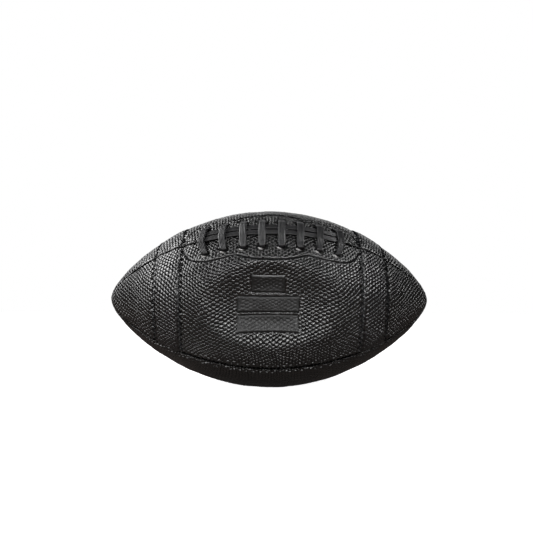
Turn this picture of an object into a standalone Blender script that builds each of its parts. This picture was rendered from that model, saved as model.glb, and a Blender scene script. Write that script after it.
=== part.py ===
"""American football, modelled as it is built: four leather panels with their linings, the bladder
with its valve, the flat lace with its facings and tongue, and the four sewn stripes.

Metres, +Z up. The ball lies on its bottom panel: the origin is the middle of the flat spot that it
rests on, +X runs along the ball, and the laced seam is turned up and to the front, which is -Y.

Two coordinates place everything on the ball. phi runs from nose to nose, with sin(phi) = x over the
half length. The girth angle runs round the X axis, from 0 at the front over 90 degrees at the top.
A height is measured outward along the normal of the ball's outer surface.
"""

import math

import bmesh
import bpy
import numpy as np
from mathutils import Matrix, Vector

# The ball's outline
HALF_LENGTH = 0.140
GIRTH_RADIUS = 0.0773
NOSE_ROUNDNESS = 0.454  # 0 gives a sharp parabola, 1 gives an ellipse
REST_DEPTH = 0.0009  # how far the flat spot is pressed in
NOSE_MOUTH = 0.0016  # radius at which the four panels stop at a nose

# The sunken middle of the front panel, where the ball is short of air
DENT_DEPTH = 0.0130
DENT_HALF_LENGTH = 0.058
DENT_RISE = 0.0370  # from its deepest line up to its rim, along the girth
DENT_FALL = 0.0385  # from its deepest line down to its rim
DENT_DROP = 0.0035  # how far its deepest line lies below the panel's middle line
DENT_FLATNESS = 3.2  # power that keeps its floor flat and its rim steep
DENT_ROUNDING = 1.8  # power that rounds its rim over
LINING_SLACK = 0.0002  # how much further the lining sinks behind the dent
SLACK_STARTS_AT = 1.25  # distance from the dent's middle, with its rim at 1
SLACK_FULL_AT = 0.95

# Sheets, from the outside in
LEATHER = 0.0019
LINING = 0.0010
BLADDER_WALL = 0.0009
FACING = 0.0010
TONGUE = 0.0011
STRIPE = 0.0007
PIECE_GAP = 0.0003

# Seams: the panel edges turn in and are sewn flank to flank
SEAM_GAP = 0.0004
SEAM_ALLOWANCE = 0.0042
FOLD_WIDTH = 0.0032
FOLD_DEPTH = 0.0021
FOLD_FADES_FROM = 0.030  # girth radius at which the fold is full
FOLD_FADES_TO = 0.009  # girth radius at which the panels only butt together
FOLD_MOST = 0.4  # most of a panel's half width that its fold takes
LINING_LEAST = 0.2  # least share of a panel's half width that its lining covers

# Lacing
LACE_CROSSES = 8
LACE_PITCH = 0.0148
LACE_WIDTH = 0.0056
LACE_THICKNESS = 0.0016
HOLE_REACH = 0.0158  # from the seam to a hole, along the surface
HOLE_CLEARANCE = 0.0009
STRAND_GAP = 0.0008
CROSS_GAP = 0.0008
END_BOW = 0.0030  # how far the two end crosses are pushed outward
LACE_BEND = 0.0016
LACE_TAIL = 0.012
LACE_EDGE = 0.7  # how far the lace's thin edge is drawn in, as a share of half its thickness

# Facing behind the holes: share of its half length, and how far it reaches past the holes
FACING_OVERHANG = 0.0182
FACING_MARGIN = 0.0020
FACING_OUTLINE = (
    (0.00, 0.0117),
    (0.17, 0.0107),
    (0.29, 0.0087),
    (0.40, 0.0060),
    (0.57, 0.0071),
    (0.67, 0.0074),
    (0.79, 0.0062),
    (0.89, 0.0032),
    (0.95, -0.0008),
    (1.00, -0.0070),
)
TONGUE_REACH = 0.0200
TONGUE_OVERHANG = 0.0200
TONGUE_TAPER = 0.6  # share of its width that the tongue loses toward its ends
TONGUE_SQUARENESS = 6  # power that keeps its sides straight for most of the way

# Stripes
STRIPE_START = 0.0724
STRIPE_SPAN = 0.0221
STRIPE_INSET = 0.0006

# Valve, turned about the normal of the rear panel
VALVE_RADIUS = 0.0043
VALVE_SINK = 0.0004
VALVE_FLANGE_RADIUS = 0.0085
VALVE_FLANGE = 0.0009
VALVE_STEM_RADIUS = 0.0032
VALVE_LENGTH = 0.0150
PLUG_HEAD_RADIUS = 0.0024
PLUG_HEAD = 0.0016
PLUG_RADIUS = 0.0016
PLUG_LENGTH = 0.0115
PLUG_GAP = 0.0003
NEEDLE_RADIUS = 0.0006
BLADDER_SINK_SPREAD = 0.018  # radius round the valve in which the bladder is fully sunk
BLADDER_SLACK = 0.0034  # how much further the bladder sinks behind the dent
BLADDER_RISE = 0.6  # how far past a sunk place the bladder is back up, as a share of its size

# Fineness of the facets, and the step, as an angle, from which a normal is worked out
NORMAL_STEP = 0.001
PANEL_ROWS = 22
PANEL_COLUMNS = 9
DENTED_ROWS = 28  # on the front panel and its lining, which follow the dent
DENTED_COLUMNS = 13
BLADDER_ROWS = 16
BLADDER_COLUMNS = 28
STRIPE_FACET = 0.011  # about the length of a stripe's facets
FACING_ROWS = 20
FACING_COLUMNS = 3
TONGUE_ROWS = 10
TONGUE_COLUMNS = 4
HOLE_SIDES = 8
TURNED_STEPS = 16
LACE_STEP = 0.010
LACE_TWIST_STEP = 0.0012
LACE_BEND_STEPS = 2
SHARP_BEND = 50.0  # degrees, from which a corner of the lace takes all its steps
BEND_SHARE = 0.45  # most of a straight that one corner's bend takes
GAP_SAMPLES = 5  # points to each side of a section where the lace's gap is measured
SHARP_EDGE = 35.0  # degrees, from which an edge is drawn sharp

# Girth angles of the panels' middle lines and of the laced seam
PANELS = {"front": 0.0, "top": 90.0, "rear": 180.0, "bottom": 270.0}
QUARTER = math.radians(45.0)
LACED_SEAM = math.radians(45.0)
VALVE_ANGLE = math.radians(PANELS["rear"])

# Depths of the layers, worked out from the sheets
AXIS_HEIGHT = GIRTH_RADIUS - REST_DEPTH
LAST_HOLE = LACE_PITCH * (LACE_CROSSES - 1) / 2
LACE_END = LAST_HOLE + END_BOW
FACING_HALF_LENGTH = LAST_HOLE + FACING_OVERHANG
FACET_SAG = GIRTH_RADIUS * (1 - math.cos(QUARTER / PANEL_COLUMNS)) + 0.5 * PIECE_GAP
LINING_TOP = LEATHER + PIECE_GAP
LINING_BOTTOM = LINING_TOP + LINING
BLADDER_TOP = LINING_BOTTOM + FACET_SAG + PIECE_GAP
FACING_TOP = LINING_BOTTOM + FACET_SAG + PIECE_GAP
UNDER_RUN = FACING_TOP + FACING + 2 * PIECE_GAP + LACE_THICKNESS / 2
TONGUE_TOP = UNDER_RUN + LACE_THICKNESS / 2 + PIECE_GAP
LACING_FLOOR = TONGUE_TOP + TONGUE + 2 * PIECE_GAP
SEAM_FLOOR = SEAM_ALLOWANCE + 2 * PIECE_GAP
FLANGE_DROP = VALVE_FLANGE_RADIUS**2 / (2 * GIRTH_RADIUS)
FLANGE_TOP = LINING_BOTTOM + FLANGE_DROP + FACET_SAG + PIECE_GAP
VALVE_FLOOR = FLANGE_TOP + VALVE_FLANGE + PIECE_GAP
STRAND_HEIGHT = PIECE_GAP + LACE_THICKNESS / 2
CROSS_HEIGHT = STRAND_HEIGHT + LACE_THICKNESS + CROSS_GAP
STRAND_OFFSET = (LACE_WIDTH + STRAND_GAP) / 2
HOLE_HALF_LENGTH = LACE_WIDTH / 2 + HOLE_CLEARANCE
HOLE_HALF_REACH = LACE_THICKNESS / 2 + LACE_BEND + HOLE_CLEARANCE / 2
CUTTER_TOP = CROSS_HEIGHT
CUTTER_BOTTOM = LACING_FLOOR


def clear_scene():
    for old in list(bpy.data.objects):
        bpy.data.objects.remove(old)


def new_collection(name):
    collection = bpy.data.collections.new(name)
    bpy.context.scene.collection.children.link(collection)
    return collection


def new_material(name, colour, roughness, metallic=0.0):
    material = bpy.data.materials.new(name)
    material.use_nodes = True
    shader = material.node_tree.nodes["Principled BSDF"]
    shader.inputs["Base Color"].default_value = (*colour, 1.0)
    shader.inputs["Roughness"].default_value = roughness
    shader.inputs["Metallic"].default_value = metallic
    material.diffuse_color = (*colour, 1.0)
    return material


# The ball's surface


def girth_radius(phi):
    """Radius round the X axis at phi, for the smooth ball."""
    sharp = (1 - NOSE_ROUNDNESS) * math.cos(phi) ** 2
    return GIRTH_RADIUS * (sharp + NOSE_ROUNDNESS * math.cos(phi))


def profile_normal(phi):
    """(along X, outward) parts of the unit normal of the smooth ball's profile."""
    run = HALF_LENGTH * math.cos(phi)
    fall = 2 * (1 - NOSE_ROUNDNESS) * math.cos(phi) * math.sin(phi)
    fall = GIRTH_RADIUS * (fall + NOSE_ROUNDNESS * math.sin(phi))
    size = math.hypot(run, fall)
    return fall / size, run / size


def dent_distance(phi, angle):
    """Distance from the dent's deepest place, with its rim at 1."""
    turned = math.remainder(angle - math.radians(PANELS["front"]), 2 * math.pi)
    along = HALF_LENGTH * math.sin(phi) / DENT_HALF_LENGTH
    across = girth_radius(phi) * turned + DENT_DROP
    across /= DENT_RISE if across > 0 else DENT_FALL
    return math.hypot(along, across)


def dent(phi, angle):
    """Depth of the sunken middle of the front panel."""
    distance = min(dent_distance(phi, angle), 1.0)
    return DENT_DEPTH * (1 - distance**DENT_FLATNESS) ** DENT_ROUNDING


def behind_dent(phi, angle):
    """1 behind the dent and 0 well outside its rim; the inner sheets sink further by this share."""
    span = SLACK_STARTS_AT - SLACK_FULL_AT
    return smoothstep((SLACK_STARTS_AT - dent_distance(phi, angle)) / span)


def outer_point(phi, angle):
    """Point of the ball's outer surface."""
    normal_x, normal_out = profile_normal(phi)
    sunk = dent(phi, angle)
    radius = girth_radius(phi) - normal_out * sunk
    return Vector(
        (
            HALF_LENGTH * math.sin(phi) - normal_x * sunk,
            -math.cos(angle) * radius,
            math.sin(angle) * radius + AXIS_HEIGHT,
        )
    )


def outward(phi, angle):
    """Unit normal of the outer surface, worked out from short steps where it is dented."""
    if dent(phi, angle) > 0:
        along = outer_point(phi + NORMAL_STEP, angle) - outer_point(phi - NORMAL_STEP, angle)
        upward = outer_point(phi, angle + NORMAL_STEP) - outer_point(phi, angle - NORMAL_STEP)
        return along.cross(upward).normalized()
    normal_x, normal_out = profile_normal(phi)
    return Vector((normal_x, -math.cos(angle) * normal_out, math.sin(angle) * normal_out))


def ball_point(phi, angle, height):
    """Point at this height over the ball's outer surface."""
    return outer_point(phi, angle) + outward(phi, angle) * float(height)


def phi_of(x):
    return math.asin(x / HALF_LENGTH)


def beside_seam(phi, distance, height=0.0):
    """Girth angle between a seam's plane and a point at this distance from it."""
    radius = girth_radius(phi) + profile_normal(phi)[1] * height
    return math.asin(min(distance / radius, math.sin(QUARTER)))


def lacing_point(x, reach, height):
    """Point near the laced seam: reach is measured from the seam, positive to the front."""
    phi = phi_of(x)
    return ball_point(phi, LACED_SEAM - reach / girth_radius(phi), height)


def lacing_frame(x, reach):
    """Unit vectors at a point near the laced seam: along the ball, to the front, and outward."""
    phi = phi_of(x)
    angle = LACED_SEAM - reach / girth_radius(phi)
    normal_x, normal_out = profile_normal(phi)
    out = Vector((0, -math.cos(angle), math.sin(angle)))
    normal = (out * normal_out + Vector((normal_x, 0, 0))).normalized()
    to_front = Vector((0, -math.sin(angle), -math.cos(angle)))
    return to_front.cross(normal), to_front, normal


def smoothstep(value):
    value = min(max(value, 0.0), 1.0)
    return value * value * (3 - 2 * value)


# Sheets


def thicken_inward(obj, thickness):
    solidify = obj.modifiers.new("Thickness", "SOLIDIFY")
    solidify.thickness = thickness
    solidify.offset = -1
    solidify.use_even_offset = True


def add_object(name, mesh, collection, material):
    obj = bpy.data.objects.new(name, mesh)
    collection.objects.link(obj)
    mesh.materials.append(material)
    mesh.shade_smooth()
    mesh.set_sharp_from_angle(angle=math.radians(SHARP_EDGE))
    return obj


def wrapped_sheet(name, rows, columns, place, thickness, collection, material):
    """A flat grid whose points are carried onto the ball by place(row, column), then thickened inward."""
    mesh = bpy.data.meshes.new(name)
    shape = bmesh.new()
    bmesh.ops.create_grid(shape, x_segments=rows, y_segments=columns, size=1.0)
    for vert in shape.verts:
        row = round((vert.co.x + 1) / 2 * rows)
        column = round((vert.co.y + 1) / 2 * columns)
        vert.co = place(row, column)
    shape.to_mesh(mesh)
    shape.free()
    obj = add_object(name, mesh, collection, material)
    thicken_inward(obj, thickness)
    return obj


def add_cut(obj, cutter):
    boolean = obj.modifiers.new("Cut by " + cutter.name, "BOOLEAN")
    boolean.operation = "DIFFERENCE"
    boolean.solver = "EXACT"
    boolean.object = cutter


def sheet_facets(side):
    """(rows, columns) of facets of a panel and of its lining."""
    if side == "front":
        return DENTED_ROWS, DENTED_COLUMNS
    return PANEL_ROWS, PANEL_COLUMNS


def row_phi(row, rows):
    """Rows spread evenly in phi from the mouth at one nose to the mouth at the other."""
    last = math.pi / 2 - NOSE_MOUTH / (GIRTH_RADIUS * NOSE_ROUNDNESS)
    return last * (2 * row / rows - 1)


def fold_share(phi):
    """1 where the seam is fully folded in, 0 near the noses where the panels butt together."""
    span = FOLD_FADES_FROM - FOLD_FADES_TO
    return smoothstep((girth_radius(phi) - FOLD_FADES_TO) / span)


def fold_start(phi):
    """Girth angle, from the seam's plane, at which the panel starts to turn in."""
    return min(beside_seam(phi, FOLD_WIDTH), FOLD_MOST * QUARTER)


def panel_edge_columns(phi):
    """(angle from the seam's plane, height) of a panel's turned-in edge, from its end to its fold."""
    full = fold_share(phi)
    tip = beside_seam(phi, SEAM_GAP / 2, -SEAM_ALLOWANCE * full)
    fold = beside_seam(phi, SEAM_GAP / 2, -FOLD_DEPTH * full)
    start = fold_start(phi)
    spread = (1 - full) * (start - fold) / 2
    return (tip, -SEAM_ALLOWANCE * full), (fold + spread, -FOLD_DEPTH * full), (start, 0.0)


def make_panel(side, collection, material):
    """A leather panel between two seams, with both edges turned in."""
    middle = math.radians(PANELS[side])
    rows, flat_columns = sheet_facets(side)
    columns = flat_columns + 4

    def place(row, column):
        phi = row_phi(row, rows)
        edge = panel_edge_columns(phi)
        if column < 2:
            away, height = edge[column]
            return ball_point(phi, middle - QUARTER + away, height)
        if column > columns - 2:
            away, height = edge[columns - column]
            return ball_point(phi, middle + QUARTER - away, height)
        start = QUARTER - edge[2][0]
        share = 2 * (column - 2) / flat_columns - 1
        return ball_point(phi, middle + share * start, 0.0)

    return wrapped_sheet("panel_" + side, rows, columns, place, LEATHER, collection, material)


def make_lining(side, collection, material):
    """The cloth behind a panel, a row short of it at each nose and trimmed beside its turned-in edges."""
    middle = math.radians(PANELS[side])
    rows, columns = sheet_facets(side)
    fold_slope = math.atan2(FOLD_DEPTH, FOLD_WIDTH)
    trim = FOLD_WIDTH + LEATHER * math.tan(fold_slope / 2) + PIECE_GAP

    def place(row, column):
        phi = row_phi(row + 1, rows)
        most = max(QUARTER - beside_seam(phi, trim), LINING_LEAST * QUARTER)
        turn = (2 * column / columns - 1) * (QUARTER - fold_start(phi))
        angle = middle + min(max(turn, -most), most)
        return ball_point(phi, angle, -LINING_TOP - LINING_SLACK * behind_dent(phi, angle))

    return wrapped_sheet(
        "lining_" + side, rows - 2, columns, place, LINING, collection, material
    )


# Facings, tongue and stripes


def smooth_between(points, at):
    """Height of a smooth curve through (place, height) points, by Catmull and Rom's rule."""
    places = [place for place, _ in points]
    index = int(np.clip(np.searchsorted(places, at) - 1, 0, len(points) - 2))
    near = [points[min(max(index + step, 0), len(points) - 1)] for step in (-1, 0, 1, 2)]
    share = (at - near[1][0]) / (near[2][0] - near[1][0])
    width = near[2][0] - near[1][0]
    slopes = []
    for before, after in ((near[0], near[2]), (near[1], near[3])):
        slopes.append((after[1] - before[1]) / (after[0] - before[0]) * width)
    keep = 2 * share**3 - 3 * share**2 + 1
    turn = share**3 - 2 * share**2 + share
    turn_end = share**3 - share**2
    return keep * near[1][1] + turn * slopes[0] + (1 - keep) * near[2][1] + turn_end * slopes[1]


def facing_reach(x):
    """How far the facing reaches from the seam at x, with the sewing's wavy outline."""
    share = min(abs(x) / FACING_HALF_LENGTH, 1.0)
    return HOLE_REACH + smooth_between(FACING_OUTLINE, share) + FACING_MARGIN


def make_facing(name, toward_front, collection, material):
    """The strip behind one row of holes, between the turned-in edge and the wavy outline."""
    inner = SEAM_GAP / 2 + LEATHER + 2 * PIECE_GAP

    def place(row, column):
        x = FACING_HALF_LENGTH * (2 * row / FACING_ROWS - 1)
        share = column / FACING_COLUMNS
        if toward_front > 0:
            share = 1 - share
        reach = inner + share * (facing_reach(x) - inner)
        return lacing_point(x, toward_front * reach, -FACING_TOP)

    return wrapped_sheet(
        name, FACING_ROWS, FACING_COLUMNS, place, FACING, collection, material
    )


def make_tongue(collection, material):
    """The guard between the lacing and the bladder, rounded at its ends."""
    half_length = LAST_HOLE + TONGUE_OVERHANG

    def place(row, column):
        share = 2 * row / TONGUE_ROWS - 1
        half_width = TONGUE_REACH * (1 - TONGUE_TAPER * share**TONGUE_SQUARENESS)
        reach = half_width * (1 - 2 * column / TONGUE_COLUMNS)
        return lacing_point(half_length * share, reach, -TONGUE_TOP)

    return wrapped_sheet(
        "tongue", TONGUE_ROWS, TONGUE_COLUMNS, place, TONGUE, collection, material
    )


def make_stripe(side, end, collection, material):
    """A band sewn over a panel from seam to seam; end is -1 for the left and 1 for the right."""
    middle = math.radians(PANELS[side])
    rows = round(STRIPE_SPAN / STRIPE_FACET)
    columns = sheet_facets(side)[1]

    def place(row, column):
        share = row / rows
        if end < 0:
            share = 1 - share
        phi = phi_of(end * (STRIPE_START + share * STRIPE_SPAN))
        edge = fold_start(phi) + STRIPE_INSET / girth_radius(phi)
        turn = 2 * column / columns - 1
        return ball_point(phi, middle + turn * (QUARTER - edge), PIECE_GAP + STRIPE)

    name = "stripe_" + side + ("_right" if end > 0 else "_left")
    return wrapped_sheet(name, rows, columns, place, STRIPE, collection, material)


# Bladder


def bladder_depth(phi, angle):
    """Depth of the bladder's skin: under the linings, and lower at seams, lacing and valve."""
    radius = girth_radius(phi)
    x = HALF_LENGTH * math.sin(phi)
    depth = BLADDER_TOP
    turned = math.remainder(angle - LACED_SEAM, 2 * QUARTER)
    seam_distance = radius * abs(turned) / (2 * FOLD_WIDTH)
    seam_extra = (SEAM_FLOOR - BLADDER_TOP) * fold_share(phi)
    depth += max(seam_extra, 0.0) * smoothstep(2 - seam_distance)
    reach = abs(radius * math.remainder(angle - LACED_SEAM, 2 * math.pi))
    full_reach = facing_reach(0) + FACING_MARGIN
    full_length = FACING_HALF_LENGTH
    beyond = max(reach / full_reach, abs(x) / full_length) - 1
    lacing = BLADDER_TOP + (LACING_FLOOR - BLADDER_TOP) * smoothstep(1 - beyond / BLADDER_RISE)
    valve_turn = radius * math.remainder(angle - VALVE_ANGLE, 2 * math.pi)
    away = math.hypot(x, valve_turn) / BLADDER_SINK_SPREAD
    sunk = smoothstep(1 - (away - 1) * BLADDER_RISE)
    valve = BLADDER_TOP + (VALVE_FLOOR - BLADDER_TOP) * sunk
    return max(depth, lacing, valve) + BLADDER_SLACK * behind_dent(phi, angle)


def make_bladder(collection, material):
    """The closed rubber skin, shaped from a sphere whose poles are the noses."""
    mesh = bpy.data.meshes.new("bladder")
    shape = bmesh.new()
    bmesh.ops.create_uvsphere(
        shape,
        u_segments=BLADDER_COLUMNS,
        v_segments=BLADDER_ROWS,
        radius=1.0,
        matrix=Matrix.Rotation(math.radians(90), 4, "Y"),
    )
    for vert in shape.verts:
        phi = math.asin(min(max(vert.co.x, -1.0), 1.0))
        angle = math.atan2(vert.co.z, -vert.co.y)
        vert.co = ball_point(phi, angle, -bladder_depth(phi, angle))
    bmesh.ops.recalc_face_normals(shape, faces=shape.faces)
    shape.to_mesh(mesh)
    shape.free()
    obj = add_object("bladder", mesh, collection, material)
    thicken_inward(obj, BLADDER_WALL)
    return obj


# Lace


class LaceStation:
    """A place on the lace's route: x and reach on the ball, height over it, and turn of its width.

    turn is 0 where the lace's width lies across the ball and 1 where it lies along it.
    """

    def __init__(self, x, reach, height, turn):
        self.values = np.array((x, reach, height, turn), float)

    def mix(self, other, share):
        return LaceStation(*(self.values * (1 - share) + other.values * share))

    def distance(self, other):
        return float(np.linalg.norm(self.values[:3] - other.values[:3]))

    def place(self):
        x, reach, height, _ = self.values
        return lacing_point(x, reach, height)

    def width_direction(self):
        x, reach, _, turn = self.values
        along, to_front, _ = lacing_frame(x, reach)
        swing = turn * math.pi / 2
        return to_front * math.cos(swing) + along * math.sin(swing)


def lace_corners():
    """Corners of the lace's one route: both strands along the slit, then the crosses in turn."""
    low = -UNDER_RUN
    lie = STRAND_HEIGHT
    over = CROSS_HEIGHT
    end = LACE_END
    side = STRAND_OFFSET
    corners = [
        LaceStation(-end - LACE_TAIL, side, low, 0),
        LaceStation(-end, side, low, 0),
        LaceStation(-end, side, lie, 0),
        LaceStation(end, side, lie, 0),
        LaceStation(end, side, low, 1),
        LaceStation(end, -side, low, 1),
        LaceStation(end, -side, lie, 0),
        LaceStation(-end, -side, lie, 0),
        LaceStation(-end, -side, low, 1),
    ]
    crest = side + LACE_WIDTH / 2 + CROSS_GAP
    foot = (crest + HOLE_REACH) / 2 + LACE_THICKNESS / 2
    for index in range(LACE_CROSSES):
        x = LACE_PITCH * index - LAST_HOLE
        bow = 0.0
        if index == 0:
            bow = -END_BOW
        if index == LACE_CROSSES - 1:
            bow = END_BOW
        corners += [
            LaceStation(x, -HOLE_REACH, low, 1),
            LaceStation(x, -HOLE_REACH, lie, 1),
            LaceStation(x + bow * 0.5, -foot, lie, 1),
            LaceStation(x + bow, -crest, over, 1),
            LaceStation(x + bow, crest, over, 1),
            LaceStation(x + bow * 0.5, foot, lie, 1),
            LaceStation(x, HOLE_REACH, lie, 1),
            LaceStation(x, HOLE_REACH, low, 1),
        ]
    corners.append(LaceStation(LAST_HOLE, HOLE_REACH - LACE_TAIL, low, 1))
    return corners


def rounded_route(corners):
    """Stations along the route, with each corner turned on a short curve."""
    stations = [corners[0]]
    for before, corner, after in zip(corners, corners[1:], corners[2:]):
        cut_in = min(LACE_BEND, before.distance(corner) * BEND_SHARE)
        cut_out = min(LACE_BEND, after.distance(corner) * BEND_SHARE)
        enter = corner.mix(before, cut_in / before.distance(corner))
        leave = corner.mix(after, cut_out / after.distance(corner))
        add_straight(stations, enter)
        inward = (corner.values - before.values)[:3]
        outward = (after.values - corner.values)[:3]
        turn = inward @ outward / np.linalg.norm(inward) / np.linalg.norm(outward)
        steps = LACE_BEND_STEPS if turn < math.cos(math.radians(SHARP_BEND)) else 1
        for step in range(1, steps + 1):
            share = step / steps
            first = enter.mix(corner, share)
            stations.append(first.mix(corner.mix(leave, share), share))
    add_straight(stations, corners[-1])
    return stations


def add_straight(stations, goal):
    """Adds stations up to the goal, close together where the lace twists."""
    last = stations[-1]
    twists = last.values[3] != goal.values[3]
    step = LACE_TWIST_STEP if twists else LACE_STEP
    count = max(math.ceil(last.distance(goal) / step), 1)
    for index in range(1, count + 1):
        stations.append(last.mix(goal, index / count))


def lace_section(station, direction):
    """Six points of the flat lace's section, square to the direction."""
    width = station.width_direction()
    width = (width - direction * width.dot(direction)).normalized()
    up = direction.cross(width)
    half_width = LACE_WIDTH / 2
    half_thickness = LACE_THICKNESS / 2
    flat = half_width - half_thickness * LACE_EDGE
    outline = (
        (half_width, 0.0),
        (flat, half_thickness),
        (-flat, half_thickness),
        (-half_width, 0.0),
        (-flat, -half_thickness),
        (flat, -half_thickness),
    )
    centre = station.place()
    return [centre + width * across + up * out for across, out in outline]


def lace_rings():
    """The lace's sections along its whole route."""
    stations = rounded_route(lace_corners())
    centres = [station.place() for station in stations]
    rings = []
    for index, station in enumerate(stations):
        before = centres[max(index - 1, 0)]
        after = centres[min(index + 1, len(centres) - 1)]
        rings.append(lace_section(station, (after - before).normalized()))
    return rings


def loft(rings):
    """A closed solid through rings of points, with a cap at each end."""
    shape = bmesh.new()
    loops = [[shape.verts.new(point) for point in ring] for ring in rings]
    for lower, upper in zip(loops, loops[1:]):
        for index in range(len(lower)):
            after = (index + 1) % len(lower)
            shape.faces.new((lower[index], lower[after], upper[after], upper[index]))
    shape.faces.new(reversed(loops[0]))
    shape.faces.new(loops[-1])
    bmesh.ops.recalc_face_normals(shape, faces=shape.faces)
    return shape


def make_lace(collection, material):
    mesh = bpy.data.meshes.new("lace")
    rings = lace_rings()
    shape = loft(rings)
    shape.to_mesh(mesh)
    shape.free()
    print_least_gap(rings)
    return add_object("lace", mesh, collection, material)


def print_least_gap(rings):
    """Prints the least gap from the lace to itself, measured between points on its skin."""
    corners = np.array([[tuple(point) for point in ring] for ring in rings])
    shares = np.arange(GAP_SAMPLES) / GAP_SAMPLES
    sides = corners[:, :, None] + shares[:, None] * (np.roll(corners, -1, 1) - corners)[:, :, None]
    outline = sides.reshape(len(rings), -1, 3)
    between = outline[:-1, None] + shares[:, None, None] * (outline[1:] - outline[:-1])[:, None]
    skin = between.reshape(-1, outline.shape[1], 3)
    middle = skin.mean(axis=1)
    run = np.concatenate(([0.0], np.cumsum(np.linalg.norm(np.diff(middle, axis=0), axis=1))))
    least = math.inf
    apart = 4 * LACE_WIDTH
    for index in range(len(middle)):
        far = (run - run[index] > apart) & (
            np.linalg.norm(middle - middle[index], axis=1) < 2 * LACE_WIDTH
        )
        if far.any():
            other = skin[far].reshape(-1, 3)
            gaps = np.linalg.norm(skin[index][:, None] - other[None], axis=2)
            least = min(least, float(gaps.min()))
    print(f"lace length {run[-1]:.3f} m, least gap to itself {least * 1000:.2f} mm")


# Valve


def turned_solid(name, profile, collection, material):
    """Turns a closed (radius, height) outline round +Y at the valve's place on the rear panel."""
    mesh = bpy.data.meshes.new(name)
    shape = bmesh.new()
    points = [shape.verts.new((radius, 0.0, height)) for radius, height in profile]
    for index, point in enumerate(points):
        shape.edges.new((point, points[(index + 1) % len(points)]))
    shape.to_mesh(mesh)
    shape.free()
    obj = add_object(name, mesh, collection, material)
    screw = obj.modifiers.new("Turn", "SCREW")
    screw.axis = "Z"
    screw.angle = math.radians(360)
    screw.steps = TURNED_STEPS
    screw.render_steps = TURNED_STEPS
    screw.use_merge_vertices = True
    screw.merge_threshold = 0.00001
    screw.use_smooth_shade = True
    obj.location = ball_point(0.0, VALVE_ANGLE, 0.0)
    obj.rotation_euler = (math.radians(-90), 0, 0)
    return obj


def make_valve_housing(collection, material):
    """Rubber collar, flange under the lining and long stem, bored for the plug."""
    bore = PLUG_RADIUS + PLUG_GAP
    head_bore = PLUG_HEAD_RADIUS + PLUG_GAP
    seat = -VALVE_SINK - PLUG_HEAD - PLUG_GAP
    bottom = -VALVE_LENGTH
    profile = (
        (head_bore, -VALVE_SINK),
        (VALVE_RADIUS, -VALVE_SINK),
        (VALVE_RADIUS, -FLANGE_TOP),
        (VALVE_FLANGE_RADIUS, -FLANGE_TOP),
        (VALVE_FLANGE_RADIUS, -FLANGE_TOP - VALVE_FLANGE),
        (VALVE_STEM_RADIUS, -FLANGE_TOP - VALVE_FLANGE),
        (VALVE_STEM_RADIUS, bottom),
        (bore, bottom),
        (bore, seat),
        (head_bore, seat),
    )
    return turned_solid("valve_housing", profile, collection, material)


def make_valve_plug(collection, material):
    """Plug with a head, pierced for the inflating needle."""
    top = -VALVE_SINK
    profile = (
        (NEEDLE_RADIUS * 2, top),
        (PLUG_HEAD_RADIUS, top),
        (PLUG_HEAD_RADIUS, top - PLUG_HEAD),
        (PLUG_RADIUS, top - PLUG_HEAD),
        (PLUG_RADIUS, top - PLUG_LENGTH),
        (NEEDLE_RADIUS, top - PLUG_LENGTH),
        (NEEDLE_RADIUS, top - PLUG_HEAD / 2),
    )
    return turned_solid("valve_plug", profile, collection, material)


# Cutters


def add_cutter(name, shape, collection):
    mesh = bpy.data.meshes.new(name)
    shape.to_mesh(mesh)
    shape.free()
    cutter = bpy.data.objects.new(name, mesh)
    collection.objects.link(cutter)
    cutter.hide_render = True
    cutter.display_type = "WIRE"
    return cutter


def add_opening(shape, x, reach, half_length, half_reach, sides):
    """A rod with an oval section, square to the ball at a place near the laced seam."""
    along, to_front, normal = lacing_frame(x, reach)
    centre = lacing_point(x, reach, (CUTTER_TOP - CUTTER_BOTTOM) / 2)
    turn = Matrix((along, to_front, normal)).transposed().to_4x4()
    size = Matrix.Diagonal((half_length, half_reach, 1.0, 1.0))
    bmesh.ops.create_cone(
        shape,
        cap_ends=True,
        segments=sides,
        radius1=1.0,
        radius2=1.0,
        depth=CUTTER_TOP + CUTTER_BOTTOM,
        matrix=Matrix.Translation(centre) @ turn @ size,
    )


def make_lace_openings(collection):
    """All the lace holes, and the two wider ends of the slit where the strands go in."""
    shape = bmesh.new()
    for index in range(LACE_CROSSES):
        x = LACE_PITCH * index - LAST_HOLE
        for side in (-1, 1):
            reach = side * HOLE_REACH
            add_opening(shape, x, reach, HOLE_HALF_LENGTH, HOLE_HALF_REACH, HOLE_SIDES)
    end_reach = STRAND_OFFSET + LACE_WIDTH / 2 + HOLE_CLEARANCE + STRAND_GAP
    for end in (-LACE_END, LACE_END):
        add_opening(shape, end, 0.0, HOLE_HALF_LENGTH, end_reach, HOLE_SIDES + 2)
    bmesh.ops.recalc_face_normals(shape, faces=shape.faces)
    return add_cutter("lace_openings", shape, collection)


def make_valve_opening(name, radius, collection):
    """A rod along the valve's axis."""
    centre = ball_point(0.0, VALVE_ANGLE, 0.0)
    shape = bmesh.new()
    bmesh.ops.create_cone(
        shape,
        cap_ends=True,
        segments=TURNED_STEPS,
        radius1=radius,
        radius2=radius,
        depth=2 * VALVE_LENGTH,
        matrix=Matrix.Translation(centre) @ Matrix.Rotation(math.radians(90), 4, "X"),
    )
    return add_cutter(name, shape, collection)


def make_rest_cutter(collection):
    """A block whose top is the plane that the ball rests on."""
    shape = bmesh.new()
    size = (HALF_LENGTH, GIRTH_RADIUS, GIRTH_RADIUS / 2)
    drop = Matrix.Translation((0, 0, -size[2] / 2))
    bmesh.ops.create_cube(shape, size=1.0, matrix=drop @ Matrix.Diagonal((*size, 1.0)))
    return add_cutter("rest_plane", shape, collection)


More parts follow.
